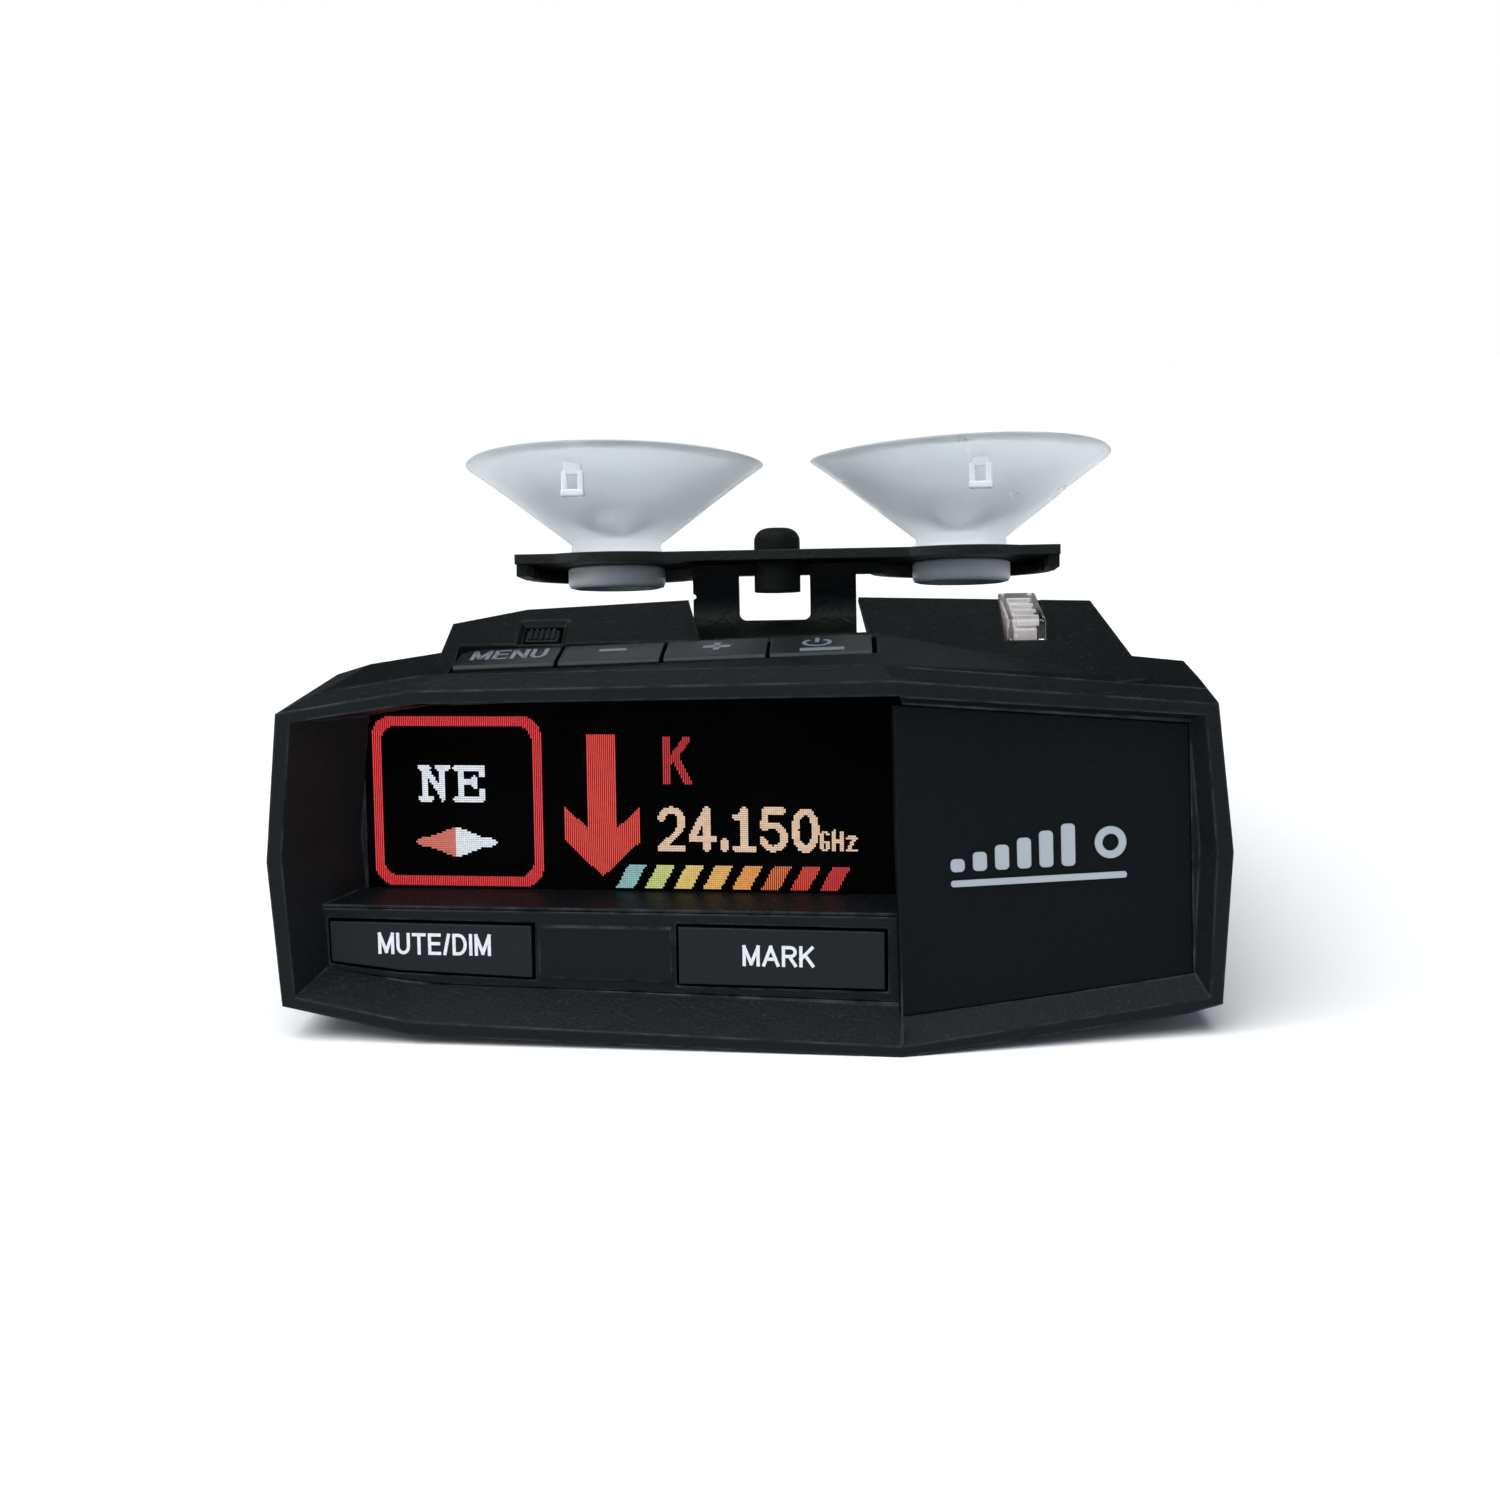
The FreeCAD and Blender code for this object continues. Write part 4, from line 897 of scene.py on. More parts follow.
GLYPHS: dict[str, Glyph] = {
    "N": Glyph((
        ((0.17, 0.0), (0.17, 1.0)), ((0.83, 0.0), (0.83, 1.0)), ((0.17, 0.95), (0.83, 0.08)),
        ((0.0, 0.0), (0.36, 0.0)), ((0.0, 1.0), (0.26, 1.0)), ((0.64, 1.0), (1.0, 1.0)),
    )),
    "E": Glyph((
        ((0.17, 0.0), (0.17, 1.0)), ((0.0, 1.0), (1.0, 1.0), (1.0, 0.78)),
        ((0.0, 0.0), (1.0, 0.0), (1.0, 0.24)), ((0.17, 0.52), (0.72, 0.52)), ((0.72, 0.64), (0.72, 0.40)),
    )),
    "K": Glyph(
        (((0.12, 0.0), (0.12, 1.0)), ((0.95, 1.0), (0.42, 0.58), (0.12, 0.45)), ((0.45, 0.60), (1.0, 0.0))),
        (4.3, 3.0)
    ),
    "2": Glyph((arc(0.5, 0.70, 0.5, 0.30, 165, -20) + ((0.80, 0.42), (0.0, 0.0), (1.0, 0.0)),), (3.7, 3.1)),
    "4": Glyph((((0.68, 0.0), (0.68, 1.0), (0.0, 0.30), (0.0, 0.26), (1.0, 0.26)),), (3.7, 3.1)),
    ".": Glyph((((0.4, 0.08), (0.6, 0.08)), ((0.5, 0.0), (0.5, 0.16))), (3.9, 3.6)),
    "1": Glyph((((0.0, 0.82), (0.22, 0.84), (0.5, 1.0), (0.5, 0.0)), ((0.0, 0.0), (1.0, 0.0))), (3.7, 3.1)),
    "5": Glyph(
        (
            ((0.95, 1.0), (0.08, 1.0), (0.06, 0.58)),
            ((0.06, 0.56), (0.3, 0.62)) + arc(0.48, 0.32, 0.52, 0.31, 95, -165)
        ),
        (3.7, 3.1)
    ),
    "0": Glyph((arc(0.5, 0.5, 0.5, 0.5, 0, 360),), (3.7, 3.1)),
    "G": Glyph((arc(0.5, 0.5, 0.5, 0.5, 50, 330) + ((1.0, 0.45), (0.6, 0.45)),), (1.7, 1.7)),
    "H": Glyph((((0.0, 0.0), (0.0, 1.0)), ((1.0, 0.0), (1.0, 1.0)), ((0.0, 0.5), (1.0, 0.5))), (1.7, 1.7)),
    "z": Glyph((((0.0, 0.68), (1.0, 0.68), (0.0, 0.0), (1.0, 0.0)),), (1.7, 1.7)),
}


def near_stroke(x: float, y: float, stroke: tuple[Point, ...], pen: Point) -> bool:
    """Says whether a dot is under a stroke.

    Args:
        x: The dot's column.
        y: The dot's row.
        stroke: The stroke's points in dots.
        pen: The pen's width and height in dots.

    Returns:
        True if the pen covers the dot.
    """
    for (ax, ay), (bx, by) in zip(stroke, stroke[1:]):
        px, py = (x - ax) / pen[0], (y - ay) / pen[1]
        dx, dy = (bx - ax) / pen[0], (by - ay) / pen[1]
        length = dx * dx + dy * dy
        t = 0.0 if length == 0 else max(0.0, min(1.0, (px * dx + py * dy) / length))
        if (px - t * dx) ** 2 + (py - t * dy) ** 2 <= 0.25:
            return True
    return False


@dataclass
class DisplayScreen:
    """Dot display behind the left facet: heading box, arrow, band, frequency and signal bars."""

    columns: int = 256
    rows: int = 88
    pitch: float = 0.1922
    left: float = -53.48
    foot: float = 13.62
    depth: float = 8.985
    thick: float = 0.02
    dots: dict[tuple[int, int], tuple[Colour, Point]] = field(default_factory=dict)

    RED: Colour = (0.86, 0.022, 0.030)
    ARROW: Colour = (0.90, 0.050, 0.028)
    BAND: Colour = (0.62, 0.014, 0.022)
    WHITE: Colour = (0.86, 0.93, 1.0)
    CREAM: Colour = (0.86, 0.60, 0.42)
    SALMON: Colour = (0.70, 0.16, 0.11)
    WIDE: Point = (0.90, 0.84)
    STRIPE: Point = (0.56, 0.99)
    BARS: tuple[Colour, ...] = (
        (0.27, 0.52, 0.52),
        (0.60, 0.66, 0.22),
        (0.80, 0.58, 0.16),
        (0.84, 0.46, 0.11),
        (0.84, 0.33, 0.07),
        (0.84, 0.17, 0.035),
        (0.84, 0.05, 0.025),
        (0.72, 0.022, 0.024),
    )

    def light(self, column: int, row: int, colour: Colour, span: Point) -> None:
        """Lights one dot.

        Args:
            column: Its column, from the left.
            row: Its row, from the foot.
            colour: Its colour.
            span: The share of the pitch it fills across and up.
        """
        if 0 <= column < self.columns and 0 <= row < self.rows:
            self.dots[(column, row)] = (colour, span)

    def fill(
        self, columns: range, rows: range, inside: Callable[[float, float], bool], colour: Colour,
        span: Point
    ) -> None:
        """Lights the dots of an area that a rule accepts.

        Args:
            columns: Columns to try.
            rows: Rows to try.
            inside: The rule, given a dot's middle.
            colour: The colour.
            span: The dots' span.
        """
        for c in columns:
            for r in rows:
                if inside(c + 0.5, r + 0.5):
                    self.light(c, r, colour, span)

    def heading_box(self) -> None:
        """Draws the rounded box round the heading."""
        middle_x, middle_y, half_x, half_y, corner, band = 48.4, 44.6, 44.4, 43.6, 10.5, 4.9

        def on_band(x: float, y: float) -> bool:
            """Says whether a dot lies on the box's band.

            Args:
                x: Column of the dot.
                y: Row of the dot.

            Returns:
                True on the band.
            """
            outer = self._outside(x, y, middle_x, middle_y, half_x, half_y, corner)
            inner = self._outside(
                x, y, middle_x, middle_y, half_x - band, half_y - band, corner - band * 0.4
            )
            return outer <= 0.0 < inner

        self.fill(range(0, 96), range(0, self.rows), on_band, self.RED, self.STRIPE)

    @staticmethod
    def _outside(
        x: float, y: float, cx: float, cy: float, half_x: float, half_y: float, corner: float
    ) -> float:
        """Measures a dot against a rounded box.

        Args:
            x: Column of the dot.
            y: Row of the dot.
            cx: Middle column of the box.
            cy: Middle row of the box.
            half_x: Half the box's width.
            half_y: Half the box's height.
            corner: Radius of its corners.

        Returns:
            The distance outside, negative inside.
        """
        dx = max(0.0, abs(x - cx) - (half_x - corner))
        dy = max(0.0, abs(y - cy) - (half_y - corner))
        return math.hypot(dx, dy) - corner

    def compass(self) -> None:
        """Draws the stepped compass needle, one half warm and one half white."""
        cx, cy, half_x, half_y = 47.4, 23.5, 20.8, 7.4

        def needle(x: float, y: float) -> bool:
            """Says whether a dot lies on the needle."""
            stepped = math.floor(abs(x - cx) / 2.6) * 2.6
            return abs(y - cy) <= half_y * max(0.0, 1.0 - stepped / half_x) + 0.2

        self.fill(range(26, 47), range(14, 34), needle, self.SALMON, self.WIDE)
        self.fill(range(47, 69), range(14, 34), needle, self.WHITE, self.WIDE)

    def arrow(self) -> None:
        """Draws the large arrow that points down."""
        cx = 123.6

        def shape(x: float, y: float) -> bool:
            """Says whether a dot lies on the arrow.

            Args:
                x: Column of the dot.
                y: Row of the dot.

            Returns:
                True on the arrow.
            """
            off = abs(x - cx)
            shaft = off <= 7.2 and 18.0 < y < 79.5
            tip = 6.8 + off * 0.93
            return shaft or (off <= 19.8 and tip <= y <= tip + 17.5)

        self.fill(range(100, 148), range(4, 84), shape, self.ARROW, self.STRIPE)

    def word(
        self, text: str, left: float, foot: float, wide: float, tall: float, gap: float, colour: Colour,
        span: Point, widths: dict[str, float] | None = None
    ) -> None:
        """Draws characters side by side.

        Args:
            text: The characters.
            left: Left side of the first, in dots.
            foot: Foot of the row, in dots.
            wide: Width of a character.
            tall: Height of a character.
            gap: Space between characters.
            colour: The colour.
            span: The dots' span.
            widths: Widths of the characters that differ.
        """
        x = left
        for letter in text:
            glyph = GLYPHS[letter]
            width = (widths or {}).get(letter, wide)
            pen_x, pen_y = glyph.pen
            inner_x, inner_y = width - pen_x, tall - pen_y
            strokes = [
                tuple((x + pen_x / 2 + u * inner_x, foot + pen_y / 2 + v * inner_y) for u, v in s)
                for s in glyph.strokes
            ]
            for c in range(int(x) - 1, int(x + width) + 2):
                for r in range(int(foot) - 1, int(foot + tall) + 2):
                    if any(near_stroke(c + 0.5, r + 0.5, s, glyph.pen) for s in strokes):
                        self.light(c, r, colour, span)
            x += width + gap

    def signal_bars(self) -> None:
        """Draws the row of slanted signal bars."""
        for index, colour in enumerate(self.BARS):
            start = 130.2 + index * 14.8

            def slanted(x: float, y: float, at: float = start) -> bool:
                """Says whether a dot lies on this slanted bar."""
                lean = (y - 1.0) * 0.55
                return at + lean <= x <= at + lean + 9.0

            self.fill(
                range(int(start), int(start) + 20), range(1, 13), slanted, colour, self.STRIPE
                if index > 4 else self.WIDE
            )

    def draw(self) -> None:
        """Draws everything the display shows."""
        self.heading_box()
        self.word("NE", 28.0, 44.4, 16.8, 19.0, 1.6, self.WHITE, self.WIDE)
        self.compass()
        self.arrow()
        self.word("K", 153.4, 53.5, 16.5, 24.6, 0.0, self.BAND, self.STRIPE)
        self.word("24.150", 152.0, 20.0, 14.2, 22.6, 1.7, self.CREAM, self.WIDE, {".": 4.6, "1": 12.0})
        self.word("GHz", 233.8, 20.6, 5.4, 11.0, 1.3, self.CREAM, self.WIDE)
        self.signal_bars()

    def tree(self) -> bpy.types.NodeTree:
        """Builds the tree for the dots.

        Returns:
            The tree that puts a small plate on each lit dot.
        """
        tree, given, out = geometry_tree(
            "display_dots",
            {
                "Pitch": ("NodeSocketFloat", 0.0002), "Thickness": ("NodeSocketFloat", 0.00002),
                "Material": ("NodeSocketMaterial", None)
            }
        )
        size = put(
            tree, "ShaderNodeCombineXYZ",
            {"X": given.outputs["Pitch"], "Y": given.outputs["Thickness"], "Z": given.outputs["Pitch"]}
        )
        plate = put(tree, "GeometryNodeMeshCube", {"Size": size.outputs[0]})
        points = put(tree, "GeometryNodeMeshToPoints", {"Mesh": given.outputs["Geometry"]})
        span = put(tree, "GeometryNodeInputNamedAttribute", {"Name": "span"}, data_type="FLOAT_VECTOR")
        placed = put(
            tree, "GeometryNodeInstanceOnPoints",
            {"Points": points.outputs[0], "Instance": plate.outputs[0], "Scale": span.outputs["Attribute"]}
        )
        real = put(tree, "GeometryNodeRealizeInstances", {0: placed.outputs[0]})
        coloured = put(
            tree, "GeometryNodeSetMaterial",
            {"Geometry": real.outputs[0], "Material": given.outputs["Material"]}
        )
        tree.links.new(coloured.outputs[0], out.inputs[0])
        return tree

    def build(self) -> None:
        """Builds the lit dots."""
        self.draw()
        keys = sorted(self.dots)
        mesh = bpy.data.meshes.new("dots")
        mesh.from_pydata(
            [
                (
                    (self.left + (c + 0.5) * self.pitch) * MM, self.depth * MM,
                    (self.foot + (r + 0.5) * self.pitch) * MM
                )
                for c, r in keys
            ],
            [], []
        )
        ink = mesh.attributes.new("ink", "FLOAT_COLOR", "POINT")
        span = mesh.attributes.new("span", "FLOAT_VECTOR", "POINT")
        ink.data.foreach_set("color", [v for key in keys for v in (*self.dots[key][0], 1.0)])
        span.data.foreach_set(
            "vector", [v for key in keys for v in (self.dots[key][1][0], 1.0, self.dots[key][1][1])]
        )
        plates = run_tree(
            self.tree(), mesh,
            {"Pitch": self.pitch * MM, "Thickness": self.thick * MM, "Material": PALETTE.get("dots")}
        )
        plates.transform(LEFT_FACET.matrix())
        add_piece("display_dots", plates, "dots", Body.CASE)


# ---------------------------------------------------------------- thin prints


def ribbon(
    points: tuple[Point, ...], width: float, thick: float, seat: Seat, level: float
) -> bpy.types.Mesh:
    """Makes a thin flat line of print that lies on a seat's x-y plane.

    Args:
        points: The line's points in millimetres.
        width: Its width.
        thick: How proud it stands.
        seat: The seat.
        level: Height of the surface.

    Returns:
        The ribbon's mesh in the frame.
    """
    half = width / 2
    sides: list[tuple[Vector, Vector]] = []
    for i, here in enumerate(points):
        before = Vector(points[max(i - 1, 0)])
        after = Vector(points[min(i + 1, len(points) - 1)])
        along = (after - before).normalized()
        across = Vector((-along.y, along.x)) * half
        sides.append((Vector(here) + across, Vector(here) - across))
    rings = [
        [(s.x, s.y, level + dz) for s, dz in ((a, thick), (b, thick), (b, -thick), (a, -thick))]
        for a, b in sides
    ]
    vertices = [tuple(v * MM for v in corner) for ring in rings for corner in ring]
    faces: list[tuple] = [(0, 1, 2, 3), tuple(range(len(vertices) - 4, len(vertices)))]
    for i in range(len(rings) - 1):
        for k in range(4):
            a, b = 4 * i + k, 4 * i + (k + 1) % 4
            faces.append((a, b, b + 4, a + 4))
    mesh = solid_from(vertices, faces, "ribbon")
    mesh.transform(seat.matrix())
    return mesh


def joined(meshes: list[bpy.types.Mesh]) -> bpy.types.Mesh:
    """Puts several meshes together.

    Args:
        meshes: The meshes.

    Returns:
        One mesh.
    """
    work = bmesh.new()
    for mesh in meshes:
        work.from_mesh(mesh)
    whole = bpy.data.meshes.new("joined")
    work.to_mesh(whole)
    work.free()
    return whole


# ---------------------------------------------------------------- keys


class Lettering:
    """Plain sans capitals drawn with one pen, for the legends."""

    STROKES: dict[str, tuple[float, tuple[tuple[Point, ...], ...]]] = {
        "A": (0.98, (((0.0, 0.0), (0.5, 1.0)), ((0.5, 1.0), (1.0, 0.0)), ((0.22, 0.33), (0.78, 0.33)))),
        "D": (
            0.84,
            (
                ((0.0, 0.0), (0.0, 1.0)),
                ((0.0, 1.0), (0.42, 1.0)) + arc(0.42, 0.5, 0.58, 0.5, 72, -72) + ((0.42, 0.0), (0.0, 0.0))
            )
        ),
        "E": (
            0.74,
            (
                ((0.0, 0.0), (0.0, 1.0)), ((0.0, 1.0), (1.0, 1.0)), ((0.0, 0.53), (0.92, 0.53)),
                ((0.0, 0.0), (1.0, 0.0))
            )
        ),
        "I": (0.02, (((0.5, 0.0), (0.5, 1.0)),)),
        "K": (0.82, (((0.0, 0.0), (0.0, 1.0)), ((0.95, 1.0), (0.0, 0.36)), ((0.34, 0.60), (1.0, 0.0)))),
        "M": (
            0.98,
            (
                ((0.0, 0.0), (0.0, 1.0)), ((0.0, 1.0), (0.5, 0.06)), ((0.5, 0.06), (1.0, 1.0)),
                ((1.0, 1.0), (1.0, 0.0))
            )
        ),
        "N": (0.82, (((0.0, 0.0), (0.0, 1.0)), ((0.0, 1.0), (1.0, 0.0)), ((1.0, 0.0), (1.0, 1.0)))),
        "R": (
            0.82,
            (
                ((0.0, 0.0), (0.0, 1.0)),
                ((0.0, 1.0), (0.6, 1.0)) + arc(0.6, 0.75, 0.4, 0.25, 65, -65) + ((0.6, 0.5), (0.0, 0.5)),
                ((0.52, 0.48), (1.0, 0.0))
            )
        ),
        "T": (0.80, (((0.0, 1.0), (1.0, 1.0)), ((0.5, 1.0), (0.5, 0.0)))),
        "U": (
            0.80,
            (((0.0, 1.0), (0.0, 0.34)) + arc(0.5, 0.36, 0.5, 0.36, 200, 340) + ((1.0, 0.34), (1.0, 1.0)),)
        ),
        "/": (0.30, (((0.0, 0.0), (1.0, 1.0)),)),
    }

    def __init__(self, seat: Seat, pen: float, proud: float) -> None:
        """Keeps where the letters lie and how they are drawn.

        Args:
            seat: The seat whose x-y plane they lie on.
            pen: Stroke width in millimetres.
            proud: How far they stand off the surface.
        """
        self.seat, self.pen, self.proud = seat, pen, proud

    def word(
        self, text: str, left: float, right: float, foot: float, top: float, level: float
    ) -> bpy.types.Mesh:
        """Draws a word that fills a rectangle.

        Args:
            text: The word.
            left: Left side in millimetres.
            right: Right side.
            foot: Lower side.
            top: Upper side.
            level: Height of the surface.

        Returns:
            The word's mesh in the frame.
        """
        gap = 0.17
        tall = top - foot - self.pen
        share = [self.STROKES[c][0] for c in text]
        room = (right - left) - len(text) * self.pen
        unit = room / (sum(share) + gap * (len(text) - 1))
        x = left + self.pen / 2
        strokes = []
        for letter, wide in zip(text, share):
            for stroke in self.STROKES[letter][1]:
                points = [(x + u * wide * unit, foot + self.pen / 2 + v * tall) for u, v in stroke]
                strokes.append(ribbon(self.capped(points), self.pen, self.proud, self.seat, level))
            x += wide * unit + self.pen + gap * unit
        return joined(strokes)

    def capped(self, points: list[Point]) -> tuple[Point, ...]:
        """Lengthens both ends of a stroke.

        Args:
            points: The stroke's points.

        Returns:
            The points, with both ends half a pen further out.
        """
        first, second = Vector(points[0]), Vector(points[1])
        last, before = Vector(points[-1]), Vector(points[-2])
        start = first + (first - second).normalized() * self.pen / 2
        end = last + (last - before).normalized() * self.pen / 2
        return (tuple(start), *points[1:-1], tuple(end)) if len(points) > 2 else (tuple(start), tuple(end))


@dataclass
class KeySet:
    """The two front keys, the four top keys and their legends."""

    cap: float = 0.3
    line: float = 0.55
    proud: float = 0.02

    def front_legends(self) -> None:
        """Adds the backlit words on the front keys."""
        pen = Lettering(KEY_FACE, 0.31, self.proud)
        add_piece(
            "mute_legend", pen.word("MUTE/DIM", -50.9, -39.7, 7.95, 10.05, 0.0), "backlit",
            Body.MUTE
        )
        add_piece(
            "mark_legend", pen.word("MARK", -15.3, -8.5, 7.45, 9.45, 0.0), "backlit",
            Body.MARK
        )

    def top_legends(self) -> None:
        """Adds the printed legends on the four top keys."""
        pen = Lettering(KEY_DECK, 0.42, self.proud)
        add_piece(
            "menu_legend", pen.word("MENU", -18.6, -11.3, 2.3, 5.9, self.cap), "legend",
            Body.MENU
        )
        minus = self.strip(((-6.3, 4.3), (-3.7, 4.3)), self.line * 1.6)
        add_piece("minus_legend", minus, "legend", Body.MINUS)
        plus = joined([
            self.strip(((3.7, 4.1), (6.3, 4.1)), self.line * 1.6),
            self.strip(((5.0, 2.7), (5.0, 5.5)), self.line),
        ])
        add_piece("plus_legend", plus, "legend", Body.PLUS)
        ring = arc(14.6, 4.1, 1.25, 1.3, 125, 415)
        power = [
            self.strip(ring, self.line * 0.75), self.strip(((14.6, 4.2), (14.6, 5.9)), self.line * 0.75)
        ]
        power.append(self.strip(((13.0, 1.35), (17.2, 1.35)), 1.2))
        add_piece("power_legend", joined(power), "legend", Body.POWER)

    def strip(self, points: tuple[Point, ...], width: float) -> bpy.types.Mesh:
        """Returns a printed line on the key deck."""
        return ribbon(points, width, self.proud, KEY_DECK, self.cap)

    def build(self) -> None:
        """Dresses the keys and adds their legends."""
        for node in (
            "mute_button", "mark_button", "menu_button", "minus_button", "plus_button", "power_button"
        ):
            dress(node, "key")
        dress("key_bar", "case")
        dress("release_slider", "key")
        self.front_legends()
        self.top_legends()


# ---------------------------------------------------------------- mount


@dataclass
class SuctionCup:
    """A clear soft cup with a rippled rim, its button under the plate and its pull tab."""

    side: str
    x: float
    y: float = 8.4
    radius: float = 17.2
    height: float = 11.6
    button: float = 5.6
    neck: float = 3.95
    turns: int = 96
    ripple: float = 1.1
    phase: float = 0.0
    tab_x: float = -2.0

    def wall(self) -> list[Point]:
        """Lays out the bowl's section.

        Returns:
            The closed section as radius and height, from the middle outwards and back.
        """
        r, h = self.radius, self.height
        outer = [(self.neck, -0.9), (self.neck, 0.06), (5.2, 0.06), (5.3, 0.5), (5.15, 1.5)]
        outer += self.curve((5.15, 1.5), (9.0, 4.4), (r - 0.12, h - 0.1), 14)
        inner = [(r, h + 0.08), (r - 0.16, h + 0.22)]
        inner += self.curve((r - 0.3, h + 0.16), (9.6, 6.3), (0.0, 3.7), 14)
        return outer + inner + [(0.0, -0.9)]

    def foot(self) -> list[Point]:
        """Lays out the button's section.

        Returns:
            The closed section below the plate.
        """
        b = self.button
        return [
            (0.0, -1.15), (b - 0.35, -1.15), (b, -1.4), (b, -3.1), (b - 0.2, -3.45), (b - 0.75, -3.6),
            (b - 1.2, -3.45), (b - 1.5, -3.2), (0.0, -3.1)
        ]

    @staticmethod
    def curve(start: Point, middle: Point, end: Point, steps: int) -> list[Point]:
        """Lays points along a smooth curve.

        Args:
            start: First point.
            middle: Point it passes near.
            end: Last point.
            steps: Number of steps.

        Returns:
            The points.
        """
        out = []
        for i in range(1, steps + 1):
            t = i / steps
            a, b, c = (1 - t) ** 2, 2 * t * (1 - t), t * t
            out.append((a * start[0] + b * middle[0] + c * end[0], a * start[1] + b * middle[1] + c * end[1]))
        return out

    def turned(self, section: list[Point], rippled: bool) -> bpy.types.Mesh:
        """Turns a section round the cup's axis.

        Args:
            section: Radius and height of each point.
            rippled: True to let the rim wave.

        Returns:
            The closed mesh in the frame.
        """
        vertices, faces = [], []
        count = len(section)
        for i in range(self.turns):
            angle = 2 * math.pi * i / self.turns
            for radius, height in section:
                share = (radius / self.radius) ** 3
                sink = share * self.ripple * (1.0 - math.cos(2 * angle + self.phase)) / 2 if rippled else 0.0
                sink += share * 0.12 * (1.0 - math.sin(3 * angle + self.phase)) if rippled else 0.0
                vertices.append((
                    (self.x + radius * math.cos(angle)) * MM,
                    (self.y + radius * math.sin(angle)) * MM,
                    (height - sink) * MM,
                ))
        for i in range(self.turns):
            a, b = i * count, (i + 1) % self.turns * count
            faces += [(a + k, a + (k + 1) % count, b + (k + 1) % count, b + k) for k in range(count)]
        mesh = solid_from(vertices, faces, "cup")
        mesh.transform(BRACKET_PLATE.matrix())
        return mesh

    def tab(self) -> bpy.types.Mesh:
        """Builds the small clear pull tab.

        Returns:
            Its mesh, inside the rim.
        """
        work = bmesh.new()
        blocks = [
            ((self.tab_x, 0.0, 3.4), (2.0, 0.7, 2.6)),
            ((self.tab_x - 0.9, -0.1, 1.2), (0.7, 0.9, 2.6)),
            ((self.tab_x + 0.9, -0.1, 1.2), (0.7, 0.9, 2.6)),
            ((self.tab_x, -0.2, 0.1), (2.6, 1.0, 0.8)),
        ]
        for middle, size in blocks:
            made = bmesh.ops.create_cube(work, size=1.0)["verts"]
            bmesh.ops.scale(work, verts=made, vec=size)
            bmesh.ops.translate(work, verts=made, vec=middle)
        bmesh.ops.translate(
            work, verts=work.verts, vec=(self.x, self.y - self.radius + 3.0, self.height - 5.6)
        )
        bmesh.ops.scale(work, verts=work.verts, vec=(MM, MM, MM))
        mesh = bpy.data.meshes.new("tab")
        work.to_mesh(mesh)
        work.free()
        carrier = bpy.data.objects.new("tab", mesh)
        bpy.context.scene.collection.objects.link(carrier)
        soft = carrier.modifiers.new("soft", "BEVEL")
        soft.width, soft.segments = 0.00022, 3
        softened = evaluated_mesh(carrier)
        softened.transform(BRACKET_PLATE.matrix())
        return softened

    def build(self) -> None:
        """Builds the cup's three pieces in place of the CAD cup."""
        bowl = add_piece(
            self.side + "_cup_bowl", self.turned(self.wall(), True), "cup", Body.MOUNT, True
        )
        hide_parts(self.side + "_suction_cup")
        button = add_piece(
            self.side + "_cup_button", self.turned(self.foot(), False), "nub", Body.MOUNT, True
        )
        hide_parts(self.side + "_suction_cup")
        add_piece(self.side + "_cup_tab", self.tab(), "tab", Body.MOUNT)


@dataclass
class SuctionMount:
    """The coated bracket with its bumper and two cups."""

    cups: tuple[SuctionCup, ...] = (
        SuctionCup("left", -18.3, phase=3.6, tab_x=-3.1),
        SuctionCup("right", 21.5, phase=2.0, tab_x=1.5),
    )

    def build(self) -> None:
        """Dresses the bracket and builds the cups."""
        dress("mount_bracket", "coat")
        dress("bracket_bumper", "rubber")
        for cup in self.cups:
            cup.build()


# ---------------------------------------------------------------- case


